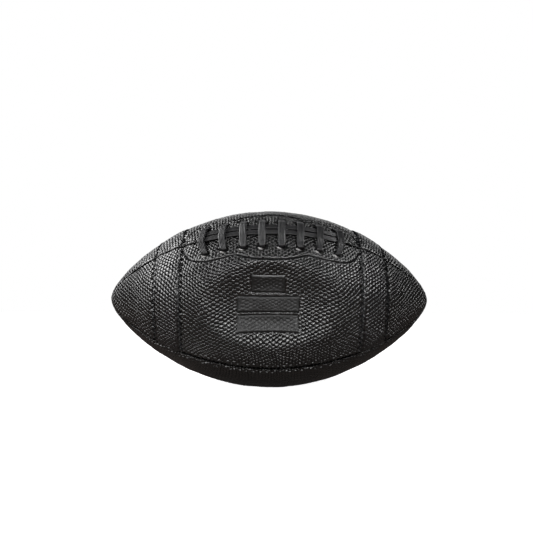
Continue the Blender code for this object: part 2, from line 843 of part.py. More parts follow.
def build():
    clear_scene()
    ball = new_collection("american_football")
    cutters = new_collection("cutters")

    lace_openings = make_lace_openings(cutters)
    valve_opening = make_valve_opening("valve_opening", VALVE_RADIUS + PIECE_GAP, cutters)
    stem_opening = make_valve_opening("stem_opening", VALVE_STEM_RADIUS + PIECE_GAP, cutters)
    rest_plane = make_rest_cutter(cutters)

    for side in PANELS:
        leather = new_material("panel_" + side, (0.022, 0.022, 0.024), 0.5)
        cloth = new_material("lining_" + side, (0.55, 0.53, 0.48), 0.9)
        panel = make_panel(side, ball, leather)
        lining = make_lining(side, ball, cloth)
        if side in ("front", "top"):
            add_cut(panel, lace_openings)
            add_cut(lining, lace_openings)
        if side == "rear":
            add_cut(panel, valve_opening)
            add_cut(lining, valve_opening)
        if side == "bottom":
            add_cut(panel, rest_plane)

    for side in ("front", "top"):
        vinyl = new_material("facing_" + side, (0.05, 0.05, 0.05), 0.7)
        toward_front = 1 if side == "front" else -1
        facing = make_facing("facing_" + side, toward_front, ball, vinyl)
        add_cut(facing, lace_openings)
        for end, word in ((-1, "left"), (1, "right")):
            band = new_material(f"stripe_{side}_{word}", (0.025, 0.025, 0.027), 0.45)
            make_stripe(side, end, ball, band)

    make_tongue(ball, new_material("tongue", (0.10, 0.10, 0.10), 0.8))
    bladder = make_bladder(ball, new_material("bladder", (0.03, 0.03, 0.03), 0.6))
    add_cut(bladder, stem_opening)
    make_lace(ball, new_material("lace", (0.03, 0.03, 0.03), 0.6))
    make_valve_housing(ball, new_material("valve_housing", (0.02, 0.02, 0.02), 0.55))
    make_valve_plug(ball, new_material("valve_plug", (0.04, 0.04, 0.04), 0.5))


build()
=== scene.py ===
"""The american football's looks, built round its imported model.

The CAD model gives the pieces and their places. Here the four panels become pebbled leather that
is cut flat and wrapped round the ball, with the sunken front, the turned-in seams, the lace holes
and the lines pressed in by the sewing. The stripes, the lace and the threads are made as finely.

Two coordinates place everything on the ball, as in the part's own source. phi runs from nose to
nose, with sin(phi) = x over the half length. The girth angle runs round the X axis, from 0 at the
front over 90 degrees at the top. A height is measured outward along the smooth ball's normal.

A third pair, the flat place, is where a point lies on a panel's leather before it is wrapped:
along the panel's middle line and across it. Pebbles keep their shape there.
"""

import math
from functools import partial

import bpy
import numpy as np
from mathutils import Matrix, Vector
from mathutils.geometry import delaunay_2d_cdt


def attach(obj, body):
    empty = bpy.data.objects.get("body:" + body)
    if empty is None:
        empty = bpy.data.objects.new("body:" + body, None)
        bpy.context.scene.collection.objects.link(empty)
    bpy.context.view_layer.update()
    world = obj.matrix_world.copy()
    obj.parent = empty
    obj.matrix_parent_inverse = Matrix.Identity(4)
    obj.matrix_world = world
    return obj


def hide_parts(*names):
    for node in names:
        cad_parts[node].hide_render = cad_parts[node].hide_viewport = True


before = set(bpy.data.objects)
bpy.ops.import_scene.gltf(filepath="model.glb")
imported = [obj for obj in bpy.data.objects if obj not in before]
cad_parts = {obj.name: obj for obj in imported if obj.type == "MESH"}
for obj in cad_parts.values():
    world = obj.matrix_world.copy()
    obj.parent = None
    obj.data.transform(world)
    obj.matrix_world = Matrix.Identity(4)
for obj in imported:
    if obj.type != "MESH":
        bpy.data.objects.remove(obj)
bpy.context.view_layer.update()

# The ball's outline, as in the part's source
HALF_LENGTH = 0.140
GIRTH_RADIUS = 0.0773
NOSE_ROUNDNESS = 0.454
NOSE_MOUTH = 0.0007  # radius at which the panels end at a nose
REST_DEPTH = 0.0009  # by which the ball is pressed flat where it rests
REST_CLEARANCE = 0.00005
REST_RELIEF = 0.15  # share of the leather's relief that is left there
AXIS_HEIGHT = GIRTH_RADIUS - REST_DEPTH
LAST_PHI = math.pi / 2 - NOSE_MOUTH / (GIRTH_RADIUS * NOSE_ROUNDNESS)
TABLE_STEPS = 6001  # of the table of lengths along the outline

# The sunken middle of the front panel
DENT_DEPTH = 0.0130
DENT_HALF_LENGTH = 0.058
DENT_RISE = 0.0370
DENT_FALL = 0.0385
DENT_DROP = 0.0035
DENT_FLATNESS = 3.2
DENT_ROUNDING = 1.8
NORMAL_STEP = 0.0005

# Girth angles of the panels' middle lines and of the laced seam
PANELS = {"front": 0.0, "top": 90.0, "rear": 180.0, "bottom": 270.0}
LACED_EDGE = {"front": 1, "top": -1}  # side of the panel on which the laced seam lies
LOWER_SEAM = {"front": -1, "bottom": 1}  # the same for the seam below the front panel
QUARTER = math.radians(45.0)
LACED_SEAM = math.radians(45.0)

# Sheets and seams
LEATHER = 0.0019
PIECE_GAP = 0.0003
SEAM_GAP = 0.0004
SEAM_ALLOWANCE = 0.0042
LEAST_APART = 0.00002  # least distance from a seam's plane to the leather
FOLD_WIDTH = 0.0021
FOLD_DEPTH = 0.0019
FOLD_FADES_FROM = 0.022
FOLD_FADES_TO = 0.007
FOLD_MOST = 0.4
PUCKER_PITCH = 0.0033  # from one stitch of the seam to the next
PUCKER_DEPTH = 0.00070
PUCKER_REACH = 0.0013
RIDGE_HEIGHT = 0.0009  # of the leather that the seam's stitches push up beside it
RIDGE_PLACE = 0.0021  # distance from the fold to the ridge's crest
RIDGE_WIDTH = 0.0011
RIDGE_EVENNESS = 0.75  # share of the ridge's height between two stitches
# where each starts and over how much it grows: as shares of the fold, and in girth radius. The
# first is shade painted into the turned-in fold.
FOLD_PAINTED_SHADE = (0.1, 0.5)
FOLD_SMOOTHS = (0.8, 0.6)
RIDGE_GROWS = (0.030, 0.02)
PUCKER_GROWS = (0.004, 0.01)

# Pebbles
PEBBLE_PITCH = 0.0032
PEBBLE_HEIGHT = 0.00077
PEBBLE_LEVELS = (0.84, 1.06)  # lowest and highest pebble, as shares of that height
PEBBLE_JITTER = 0.11  # as a share of the pitch
JITTER_MOST = 0.28
PEBBLE_RINGS = ((0.62, 0.965, False), (0.85, 0.77, True))  # place, height, also toward the sides
GROOVE_LEVEL = 0.25  # height given to points that belong to no pebble
ZERO_LEVEL = 0.70  # height that lies on the panel's own surface
SMOOTH_LEVEL = 0.70  # height of leather that has been pressed smooth
CREASE_MOST = 0.6  # smoothness up to which the grooves between pebbles are sharp
# crossing waves of (height, length, phase): of the pebbles' rows, and of the leather's surface,
# with more waves across the panel than along it
WARP = ((0.0007, 0.057, 0.3), (0.0003, 0.031, 2.1), (0.0002, 0.022, 4.0))
LUMPS = ((0.00010, 0.041, 0.5), (0.00007, 0.027, 1.7), (0.00005, 0.017, 3.1))
MORE_ACROSS = 1.1

# Flat-cut leather
OUTLINE_STEP = 0.0011
LINE_CLEAR = 0.00045  # pebble points nearer than this to an outline or a pressed line are left out
EDGE_CLEAR = 0.0016  # pebble borders nearer than this to one aren't kept as edges
INSIDE_STEP = 0.0060
BACK_RELIEF = 0.5  # share of the outer side's relief that the back follows
FLAT_ROUNDS = 9
TRIANGLE_SCALE = 1000.0
TRIANGLE_MERGE = 0.00001
ALMOST = 0.999
OPENING = 0.00001  # left in a pressed line that would otherwise close on itself

# Lacing
LACE_CROSSES = 8
LACE_PITCH = 0.0148
LACE_WIDTH = 0.0056
LACE_THICKNESS = 0.0016
HOLE_REACH = 0.0158
STRAND_GAP = 0.0008
CROSS_GAP = 0.0008
END_BOW = 0.0030
LACE_BEND = 0.0016
LACE_TAIL = 0.012
LACE_SQUEEZE = 0.30  # share of its width that the lace gives up inside a hole
SQUEEZE_FROM = 0.0045  # distance before the hole at which that starts
LAST_HOLE = LACE_PITCH * (LACE_CROSSES - 1) / 2
LACE_END = LAST_HOLE + END_BOW
STRAND_HEIGHT = PIECE_GAP + LACE_THICKNESS / 2
CROSS_HEIGHT = STRAND_HEIGHT + LACE_THICKNESS + CROSS_GAP
STRAND_OFFSET = (LACE_WIDTH + STRAND_GAP) / 2
STRAND_SHIFT = -0.0018  # how far the two strands lie over toward the top panel
STRAND_SQUEEZE = 0.12  # share of its width that the lace gives up in them
UNDER_RUN = 0.00634
SLIT_END_HALF_LENGTH = 0.0037
SLIT_END_REACH = 0.0077
# how far each cross leans along the ball, above the strands at its upper and its lower end
CROSS_LEANS = (
    (-0.0015, -0.0032), (-0.0005, -0.0018), (0.0000, -0.0002), (0.0002, -0.0002),
    (0.0009, 0.0002), (0.0008, 0.0002), (0.0016, 0.0008), (0.0026, 0.0030),
)  # fmt: skip
FOOT_LEAN = 0.6  # share of that lean beside a hole

LACE_STEP = 0.0022
LACE_TWIST_STEP = 0.0008
LACE_BEND_STEPS = 7
BEND_SHARE = 0.45
LACE_RIBS = 4
RIB_POINTS = 4
RIB_DEPTH = 0.50  # as a share of half the thickness
# the lace's edge, in half thicknesses: start of its rounding, and its (inset, height) rows
LACE_EDGE_FROM = 0.6
LACE_EDGE = ((0.15, 0.5), (0.0, 0.0), (0.15, -0.5))

# Lace holes; what lies round them is placed in sizes of the hole, with its rim at 1
HOLE_HALF_LENGTH = 0.0029
HOLE_HALF_REACH = 0.0021
HOLE_SIDES = 20
HOLE_RINGS = (1.14, 1.32)
HOLE_SINK = 0.0005
HOLE_SINK_WIDTH = 0.35
HOLE_SINK_MOST = 3
HOLE_SMOOTH_WIDTH = 0.3
LIP_HEIGHT = 0.0008  # of the lip that the lace has drawn up at each lower hole, which is painted pale as a highlight
LIP_PLACE = 1.16
LIP_WIDTH = 0.15
LIP_TOWARD = (-0.60, 0.80)  # along the ball and away from the laced seam
LIP_FROM = 0.72  # cosine at which the lip ends, on both sides of that direction
LIP_STEEPNESS = 1.4

# Sewing round the lacing
SEWING_HALF_LENGTH = LAST_HOLE + 0.0182
# share of that half length, and how far past the holes
SEWING_OUTLINE = (
    (0.00, 0.0117), (0.17, 0.0107), (0.29, 0.0087), (0.40, 0.0060), (0.57, 0.0071),
    (0.67, 0.0074), (0.79, 0.0062), (0.89, 0.0032), (0.95, -0.0008), (1.00, -0.0070),
)  # fmt: skip
# the rest of its end: how far past the half length, and how far from the laced seam
SEWING_END = (
    (0.0008, 0.0076), (0.0006, 0.0064), (-0.0006, 0.0054), (-0.0022, 0.0046), (-0.0040, 0.0040),
)  # fmt: skip
SEWING_POINTS = 60
SEWING_STEP = 0.0009
SEWING_SINK = 0.0008
SEWING_HALF_WIDTH = 0.00044
SEWING_FAR = 0.004  # distance past which the leather doesn't feel it

# Stripes
STRIPE_START = 0.0724
STRIPE_SPAN = 0.0221
STRIPE_TOP = 0.00065
STRIPE_THICKNESS = 0.0005
STRIPE_TURNED_IN = 0.45  # how far the stripe follows the leather into the seam's fold
STRIPE_LEAST = 0.0001  # least height over the panel
STRIPE_ENDS = 22  # points across each end
STRIPE_SIDES = 60  # points along each side
STRIPE_MARGIN = 0.006  # by which its net of pebbles is larger
STRIPE_PRESS = 0.00018  # by which the zigzag presses its sides down, and how far inward
STRIPE_PRESS_REACH = 0.0042
STRIPE_EDGE_SINK = 0.0001
STRIPE_EDGE_REACH = 0.0012
STRIPE_EDGE_FAR = 0.003
STRIPE_EDGE_SMOOTHNESS = 0.4
STRIPE_DIPS = 0.6  # share of the panel's needle holes' depth
STRIPE_SEED = 11  # of its random pebbles
COVER_FADE = 0.0006  # over which the panel turns smooth at the stripe that covers it
COVER_MOST = 0.2  # share of the fold up to which it does

# Threads
THREAD_RADIUS = 0.00028
THREAD_SIDES = 6
THREAD_CREST = 0.9
THREAD_STATIONS = np.array(
    ((0.0, -1.0), (0.08, 0.1), (0.3, THREAD_CREST), (0.7, THREAD_CREST), (0.92, 0.1), (1.0, -1.0))
)
THREAD_DIVE = 0.0005  # by which a stitch's ends go down
THREAD_ASIDE = 0.01  # share of a stitch's length, for the direction of its width
SEWING_STITCH = 0.0034
SEWING_GAP = 0.0007
SEWING_FIRST = 0.001
SEWING_FINE_STEP = 0.0002
SEWN_HEIGHT = 0.8  # of the sewing's threads over their groove, in thread radii
ZIGZAG_SINK = 0.0011
ZIGZAG_HOLE = 0.0012
ZIGZAG_HALF_WIDTH = 0.0014
ZIGZAG_FADE = 0.0009  # from the sewn strip's edge to where the leather is as elsewhere
ZIGZAG_PRESS = 0.00015
ZIGZAG_STEP = 0.0024
ZIGZAG_INSET = 0.001
STRIP_SMOOTHNESS = 0.10
# shade painted on the strip that the zigzag presses down
STRIP_PAINTED_SHADE = 0.10

# Smooth places on the front panel, left bare: along and across it, in flat places
BARE_BANDS = (
    (-0.0159, 0.0108, 0.0086, 0.0210),
    (-0.0278, 0.0229, -0.0098, 0.0036),
    (-0.0276, 0.0222, -0.0266, -0.0135),
)
BAND_RISE = 0.00010
BAND_SMOOTHNESS = 0.66
BAND_BEVEL = 0.0007
BAND_MOAT = 1.2  # in bevels outside a band: the place of the line pressed round it
BAND_STEP = 0.0012

# Valve
VALVE_HOLE = 0.0046
VALVE_RIM = 1.25  # the line pressed round it, as a share of its size

# Looks of the leather: colours of the pebbles and of the shade painted into the grooves, scale and
# detail of noise
BLACK = ((0.0040, 0.0039, 0.0040), (0.0004, 0.0004, 0.0004))
BLUE_BLACK = ((0.0040, 0.0040, 0.0047), (0.0004, 0.0004, 0.0005))
# pale colour painted on the lips at the lower holes as a highlight
LIP_HIGHLIGHT_PAINT = (0.62, 0.61, 0.60)
GRAIN = (2600, 3)
GRAIN_BUMP = (0.25, 0.0001)  # strength and depth
PATCHES = (60, 4)
PATCH_TONES = (0.75, 1.25)
# pebble height up to which a groove's painted shade and dullness are whole, and those at which
# they have ended
GROOVE_MOST = 0.05
COLOUR_FULL = 0.70
ROUGHNESS_FULL = 0.40
GLOSS_FULL = 0.45
PEBBLE_ROUGHNESS = (0.19, 0.30)
GROOVE_ROUGHER = 0.10  # added between the pebbles
PRESSED_ROUGHER = 0.25  # added where the leather is pressed smooth
GROOVE_GLOSS = 0.03  # between the pebbles, where light hardly gets in
PEBBLE_GLOSS = 0.95
PRESSED_GLOSS = 0.34  # share of its gloss that pressed leather keeps

# Looks of the plainer materials
PLAIN_DETAIL = 4
PLAIN_TONES = ((0.3, 0.72), (0.7, 1.25))  # noise, and share of the colour there
PLAIN_ROUGHNESS = 0.06  # up and down
PLAIN_BUMP = 0.5
# colour, roughness, scale and depth of the grain, specular level
PLAIN_MATERIALS = {
    "lace_vinyl": ((0.010, 0.010, 0.011), 0.40, 900, 0.00006, 0.6),
    "black_thread": ((0.0025, 0.0028, 0.0040), 0.85, 3000, 0.00004, 0.12),
    "lining_cloth": ((0.50, 0.48, 0.43), 0.9, 1400, 0.0001, 0.2),
    "facing_vinyl": ((0.030, 0.030, 0.030), 0.7, 1200, 0.00006, 0.3),
    "tongue_felt": ((0.060, 0.060, 0.060), 0.95, 1800, 0.0002, 0.1),
    "bladder_rubber": ((0.020, 0.020, 0.020), 0.6, 500, 0.00005, 0.5),
    "valve_rubber": ((0.016, 0.016, 0.016), 0.5, 1500, 0.00003, 0.5),
}
# material of each CAD node that isn't replaced
DRESSED = {
    **{"lining_" + side: "lining_cloth" for side in PANELS},
    **{"facing_" + side: "facing_vinyl" for side in LACED_EDGE},
    "tongue": "tongue_felt",
    "bladder": "bladder_rubber",
    "valve_housing": "valve_rubber",
    "valve_plug": "valve_rubber",
}

# Camera, with pixels of the photograph for the focal length and the ball's place
IMAGE_SIZE = 533
CAMERA_DISTANCE = 0.492
CAMERA_FOCAL = 551.6
CAMERA_AZIMUTH = -1.1
CAMERA_ELEVATION = 1.0
CAMERA_ROLL = 0.34
BALL_AT = (269.9, 299.4)

# Stage
FLOOR_REACH = 6.0
BACKDROP = (1.15, 1.5, 1.3)  # half its width, its distance behind the ball, and its height
FLOOR_COLOUR = (0.80, 0.80, 0.80)
FLOOR_SEEN_BY_LEATHER = (0.105, 0.082, 0.070)
FLOOR_BOUNCE = 0.04
FLOOR_ROUGHNESS = 0.9
WORLD_LIGHT = 0.015
# name, azimuth from the front, elevation, distance, width and height, watts
LIGHTS = (
    ("left_softbox", -62, 18, 1.0, (0.34, 0.30), 3.2),
    ("front_left_softbox", -30, 16, 1.0, (0.30, 0.26), 1.4),
    ("side_softbox", -92, 36, 1.0, (0.40, 0.36), 4.4),
    ("back_left_softbox", -118, 46, 1.0, (0.34, 0.30), 2.8),
    ("front_softbox", -2, 13, 1.0, (0.24, 0.18), 2.6),
    ("front_right_softbox", 18, 13, 1.0, (0.24, 0.18), 1.6),
    ("right_softbox", 57, 31, 1.0, (0.22, 0.30), 3.6),
    ("high_right_softbox", 90, 50, 1.0, (0.28, 0.28), 1.4),
)


# Places on the ball


def girth_radius(phi):
    sharp = (1 - NOSE_ROUNDNESS) * np.cos(phi) ** 2
    return GIRTH_RADIUS * (sharp + NOSE_ROUNDNESS * np.cos(phi))


def profile_normal(phi):
    """(along X, outward) parts of the unit normal of the smooth ball's profile."""
    run = HALF_LENGTH * np.cos(phi)
    fall = 2 * (1 - NOSE_ROUNDNESS) * np.cos(phi) * np.sin(phi)
    fall = GIRTH_RADIUS * (fall + NOSE_ROUNDNESS * np.sin(phi))
    size = np.hypot(run, fall)
    return fall / size, run / size


def dent(phi, angle):
    """Depth of the sunken middle of the front panel."""
    turned = (angle + math.pi) % (2 * math.pi) - math.pi
    along = HALF_LENGTH * np.sin(phi) / DENT_HALF_LENGTH
    across = girth_radius(phi) * turned + DENT_DROP
    across = across / np.where(across > 0, DENT_RISE, DENT_FALL)
    distance = np.minimum(np.hypot(along, across), 1.0)
    return DENT_DEPTH * (1 - distance**DENT_FLATNESS) ** DENT_ROUNDING


def outer_points(phi, angle):
    """Points of the ball's outer surface, as rows of x, y and z."""
    normal_x, normal_out = profile_normal(phi)
    sunk = dent(phi, angle)
    radius = girth_radius(phi) - normal_out * sunk
    x = HALF_LENGTH * np.sin(phi) - normal_x * sunk
    return np.stack((x, -np.cos(angle) * radius, np.sin(angle) * radius + AXIS_HEIGHT), -1)


def outward(phi, angle):
    """Unit normals of the outer surface, worked out from short steps where it is dented."""
    step = NORMAL_STEP
    along = outer_points(phi + step, angle) - outer_points(phi - step, angle)
    upward = outer_points(phi, angle + step) - outer_points(phi, angle - step)
    dented = np.cross(along, upward)
    dented /= np.linalg.norm(dented, axis=-1)[..., None] + 1e-30
    normal_x, normal_out = profile_normal(phi)
    smooth = np.stack((normal_x, -np.cos(angle) * normal_out, np.sin(angle) * normal_out), -1)
    return np.where((dent(phi, angle) > 0)[..., None], dented, smooth)


def ball_points(phi, angle, height):
    """Points at these heights over the ball's outer surface."""
    phi, angle, height = np.broadcast_arrays(phi, angle, height)
    return outer_points(phi, angle) + outward(phi, angle) * height[..., None]


def smoothstep(value):
    value = np.clip(value, 0.0, 1.0)
    return value * value * (3 - 2 * value)


def grown(value, start, over):
    """From 0 where the value is at the start to 1 where it is that much over it."""
    return smoothstep((value - start) / over)


def bell(value, width):
    return np.exp(-((value / width) ** 2))


def running_total(steps):
    return np.concatenate(([0.0], np.cumsum(steps)))


def circle(sides):
    turn = np.arange(sides) / sides * 2 * math.pi
    return np.stack((np.cos(turn), np.sin(turn)), -1)


PHI_TABLE = np.linspace(-LAST_PHI, LAST_PHI, TABLE_STEPS)
ARC_TABLE = running_total(
    np.hypot(np.diff(HALF_LENGTH * np.sin(PHI_TABLE)), np.diff(girth_radius(PHI_TABLE)))
)
ARC_TABLE = ARC_TABLE - ARC_TABLE[-1] / 2


def phi_at(arc):
    return np.interp(arc, ARC_TABLE, PHI_TABLE)


def arc_at(phi):
    return np.interp(phi, PHI_TABLE, ARC_TABLE)


def phi_of(x):
    return np.arcsin(np.asarray(x) / HALF_LENGTH)


# Flat-cut leather


def fold_shape(phi):
    """Sizes of a seam's fold at phi: start angle, start distance, width, depth, arc and flank."""
    radius = girth_radius(phi)
    full = smoothstep((radius - FOLD_FADES_TO) / (FOLD_FADES_FROM - FOLD_FADES_TO))
    start = np.arcsin(np.minimum(FOLD_WIDTH / radius, math.sin(FOLD_MOST * QUARTER)))
    from_plane = radius * np.sin(start)
    across = np.maximum(from_plane - SEAM_GAP / 2, LEAST_APART)
    depth = FOLD_DEPTH * full
    arc = math.pi / 2 * np.sqrt((across**2 + depth**2) / 2)
    return start, from_plane, across, depth, arc, (SEAM_ALLOWANCE - FOLD_DEPTH) * full


def unflatten(flat):
    """(phi, turn from the panel's middle, how far past the fold's start) of flat places."""
    arc = flat[:, 0].copy()
    for _ in range(FLAT_ROUNDS):
        phi = phi_at(arc)
        radius = girth_radius(phi)
        limit = QUARTER - fold_shape(phi)[0]
        turn = np.clip(flat[:, 1] / radius, -limit, limit)
        arc = flat[:, 0] - profile_normal(phi)[0] * radius * turn**2 / 2
    return phi, turn, np.abs(flat[:, 1]) - radius * limit


def flatten(phi, turn):
    """Flat places of points on the unfolded part of a panel."""
    radius = girth_radius(phi)
    along = arc_at(phi) + profile_normal(phi)[0] * radius * turn**2 / 2
    return np.stack((along, radius * turn), -1)


def leather_points(side, flat, height):
    """Places on the wrapped leather, at heights over its smooth surface, folds included."""
    phi, turn, past = unflatten(flat)
    _, from_plane, across, depth, arc, _ = fold_shape(phi)
    swing = np.clip(past / arc, 0, 1) * math.pi / 2
    flank = np.maximum(past - arc, 0)
    lift = height * np.cos(swing) - depth * (1 - np.cos(swing)) - flank
    apart = np.maximum(from_plane - (across + height) * np.sin(swing), LEAST_APART)
    radius = girth_radius(phi) + profile_normal(phi)[1] * lift
    away = QUARTER - np.arcsin(np.clip(apart / radius, 0, 1))
    turned = np.where(past > 0, np.sign(flat[:, 1]) * away, turn)
    points = ball_points(phi, math.radians(PANELS[side]) + turned, lift)
    if side == "bottom":
        points[:, 2] = np.maximum(points[:, 2], REST_CLEARANCE + REST_RELIEF * height)
    return points


def slit_end_cut(x):
    """Distance from the laced seam that the openings at the slit's ends take from the leather."""
    away = (np.abs(x) - LACE_END) / SLIT_END_HALF_LENGTH
    return SLIT_END_REACH * np.sqrt(np.clip(1 - away**2, 0, None))


def panel_outline(side):
    """Closed outline of a panel's flat-cut leather."""
    arcs = np.arange(ARC_TABLE[0], ARC_TABLE[-1], OUTLINE_STEP)
    arcs = np.append(arcs[:-1], ARC_TABLE[-1])
    phi = phi_at(arcs)
    start, from_plane, across, _, arc, flank = fold_shape(phi)
    radius = girth_radius(phi)
    edges = {}
    for edge in (-1, 1):
        turn = QUARTER - start
        past = arc + flank
        if LACED_EDGE.get(side) == edge:
            cut = slit_end_cut(HALF_LENGTH * np.sin(phi))
            inside = cut > from_plane
            turn = np.where(inside, QUARTER - np.arcsin(np.minimum(cut / radius, 1)), turn)
            swing = np.arcsin(np.clip((from_plane - cut) / across, 0, 1))
            folded = np.where(cut > SEAM_GAP / 2, swing / (math.pi / 2) * arc, past)
            past = np.where(inside, 0.0, folded)
        flat = flatten(phi, turn)
        flat[:, 1] += past
        flat[:, 1] *= edge
        edges[edge] = flat
    return np.concatenate((edges[-1], edges[1][::-1]))


def inside_loops(points, loops):
    """Whether each point is inside an odd number of the closed loops."""
    inside = np.zeros(len(points), bool)
    for loop in loops:
        for start, end in zip(loop, np.roll(loop, -1, 0)):
            if start[1] == end[1]:
                continue
            near = (start[1] > points[:, 1]) != (end[1] > points[:, 1])
            share = (points[near, 1] - start[1]) / (end[1] - start[1])
            inside[near] ^= points[near, 0] < start[0] + share * (end[0] - start[0])
    return inside


def distance_to_lines(points, lines, most):
    """Distance from each point to the nearest of the lines, or most where that is less."""
    nearest = np.full(len(points), most)
    for line, closed in lines:
        ends = np.roll(line, -1, 0) if closed else line[1:]
        for start, end in zip(line, ends):
            low = np.minimum(start, end) - most
            high = np.maximum(start, end) + most
            inside = (points > low) & (points < high)
            near = np.flatnonzero(inside[:, 0] & inside[:, 1])
            if not len(near):
                continue
            run = end - start
            share = np.clip((points[near] - start) @ run / max(run @ run, 1e-18), 0, 1)
            gap = np.linalg.norm(points[near] - start - share[:, None] * run, axis=1)
            nearest[near] = np.minimum(nearest[near], gap)
    return nearest


def waves(points, terms):
    """A smooth uneven height, from a few crossing waves."""
    total = np.zeros(len(points))
    for height, length, phase in terms:
        turn = 2 * math.pi / length
        total += height * np.sin(turn * points[:, 0] + phase + np.cos(turn * points[:, 1]))
        total += height * np.sin(turn * points[:, 1] * MORE_ACROSS + 2 * phase)
    return total


def pebble_net(low, high, seed):
    """Flat points of a net of pebbles, their heights from 0 to about 1, and its borders."""
    rng = np.random.default_rng(seed)
    pitch = PEBBLE_PITCH
    across = pitch * math.sqrt(3) / 2
    columns = int((high[0] - low[0]) / across) + 3
    rows = int((high[1] - low[1]) / pitch) + 3
    column, row = np.meshgrid(np.arange(columns), np.arange(rows), indexing="ij")
    flat = np.stack(
        (low[0] + (column - 1) * across, low[1] + (row - 1 + column % 2 / 2) * pitch), -1
    ).reshape(-1, 2)
    jitter = rng.normal(0, PEBBLE_JITTER, flat.shape)
    jitter = np.clip(jitter, -JITTER_MOST, JITTER_MOST) * pitch
    along = waves(flat + seed, WARP)
    sideways = waves(flat[:, ::-1] + 2 * seed, WARP)
    centres = flat + jitter + np.stack((along, sideways), -1)
    heights = rng.uniform(*PEBBLE_LEVELS, len(centres))

    index = column * rows + row
    here, above = index[:-1, :-1].ravel(), index[:-1, 1:].ravel()
    right, right_above = index[1:, :-1].ravel(), index[1:, 1:].ravel()
    even = (column[:-1, :-1].ravel() % 2 == 0)[:, None]
    first = np.where(
        even, np.stack((here, right, above), -1), np.stack((here, right, right_above), -1)
    )
    second = np.where(
        even, np.stack((right, right_above, above), -1), np.stack((here, right_above, above), -1)
    )
    corners_of = np.concatenate((first, second))
    corners = centres[corners_of].mean(axis=1)

    sides = np.concatenate((corners_of[:, [0, 1]], corners_of[:, [1, 2]], corners_of[:, [2, 0]]))
    sides = np.sort(sides, axis=1)
    owner = np.tile(np.arange(len(corners_of)), 3)
    order = np.lexsort((sides[:, 1], sides[:, 0]))
    sides, owner = sides[order], owner[order]
    twin = np.flatnonzero((sides[:-1] == sides[1:]).all(axis=1))
    middles = (corners[owner[twin]] + corners[owner[twin + 1]]) / 2
    beside = sides[twin]

    points = [corners, middles, centres]
    levels = [np.zeros(len(corners)), np.zeros(len(middles)), heights]
    for place, level, toward_sides in PEBBLE_RINGS:
        for number in range(3):
            centre = centres[corners_of[:, number]]
            points.append(centre + place * (corners - centre))
            levels.append(level * heights[corners_of[:, number]])
        for number in range(2 if toward_sides else 0):
            centre = centres[beside[:, number]]
            points.append(centre + place * (middles - centre))
            levels.append(level * heights[beside[:, number]])
    middle_index = len(corners) + np.arange(len(middles))
    borders = np.concatenate(
        (
            np.stack((owner[twin], middle_index), -1),
            np.stack((middle_index, owner[twin + 1]), -1),
        )
    )
    return np.concatenate(points), np.concatenate(levels), borders


def triangulated(points, edges, loops):
    """Triangles between the points that lie inside the loops, with the edges kept."""
    places = [Vector(point) for point in (points * TRIANGLE_SCALE).tolist()]
    made, _, faces, origins, _, _ = delaunay_2d_cdt(places, edges.tolist(), [], 0, TRIANGLE_MERGE)
    made = np.array([tuple(point) for point in made]) / TRIANGLE_SCALE
    faces = np.array(faces)
    origin = np.array([found[0] if found else -1 for found in origins])
    faces = faces[inside_loops(made[faces].mean(axis=1), loops)]
    return made, faces, origin


def line_edges(count, first, closed):
    steps = np.arange(first, first + count)
    ends = np.roll(steps, -1) if closed else steps[1:]
    return np.stack((steps[: len(ends)], ends), -1)


def made_from(origin, count):
    """Which made point came from each of the first given points."""
    known = np.flatnonzero((origin >= 0) & (origin < count))
    made = np.full(count, -1)
    made[origin[known]] = known
    return made


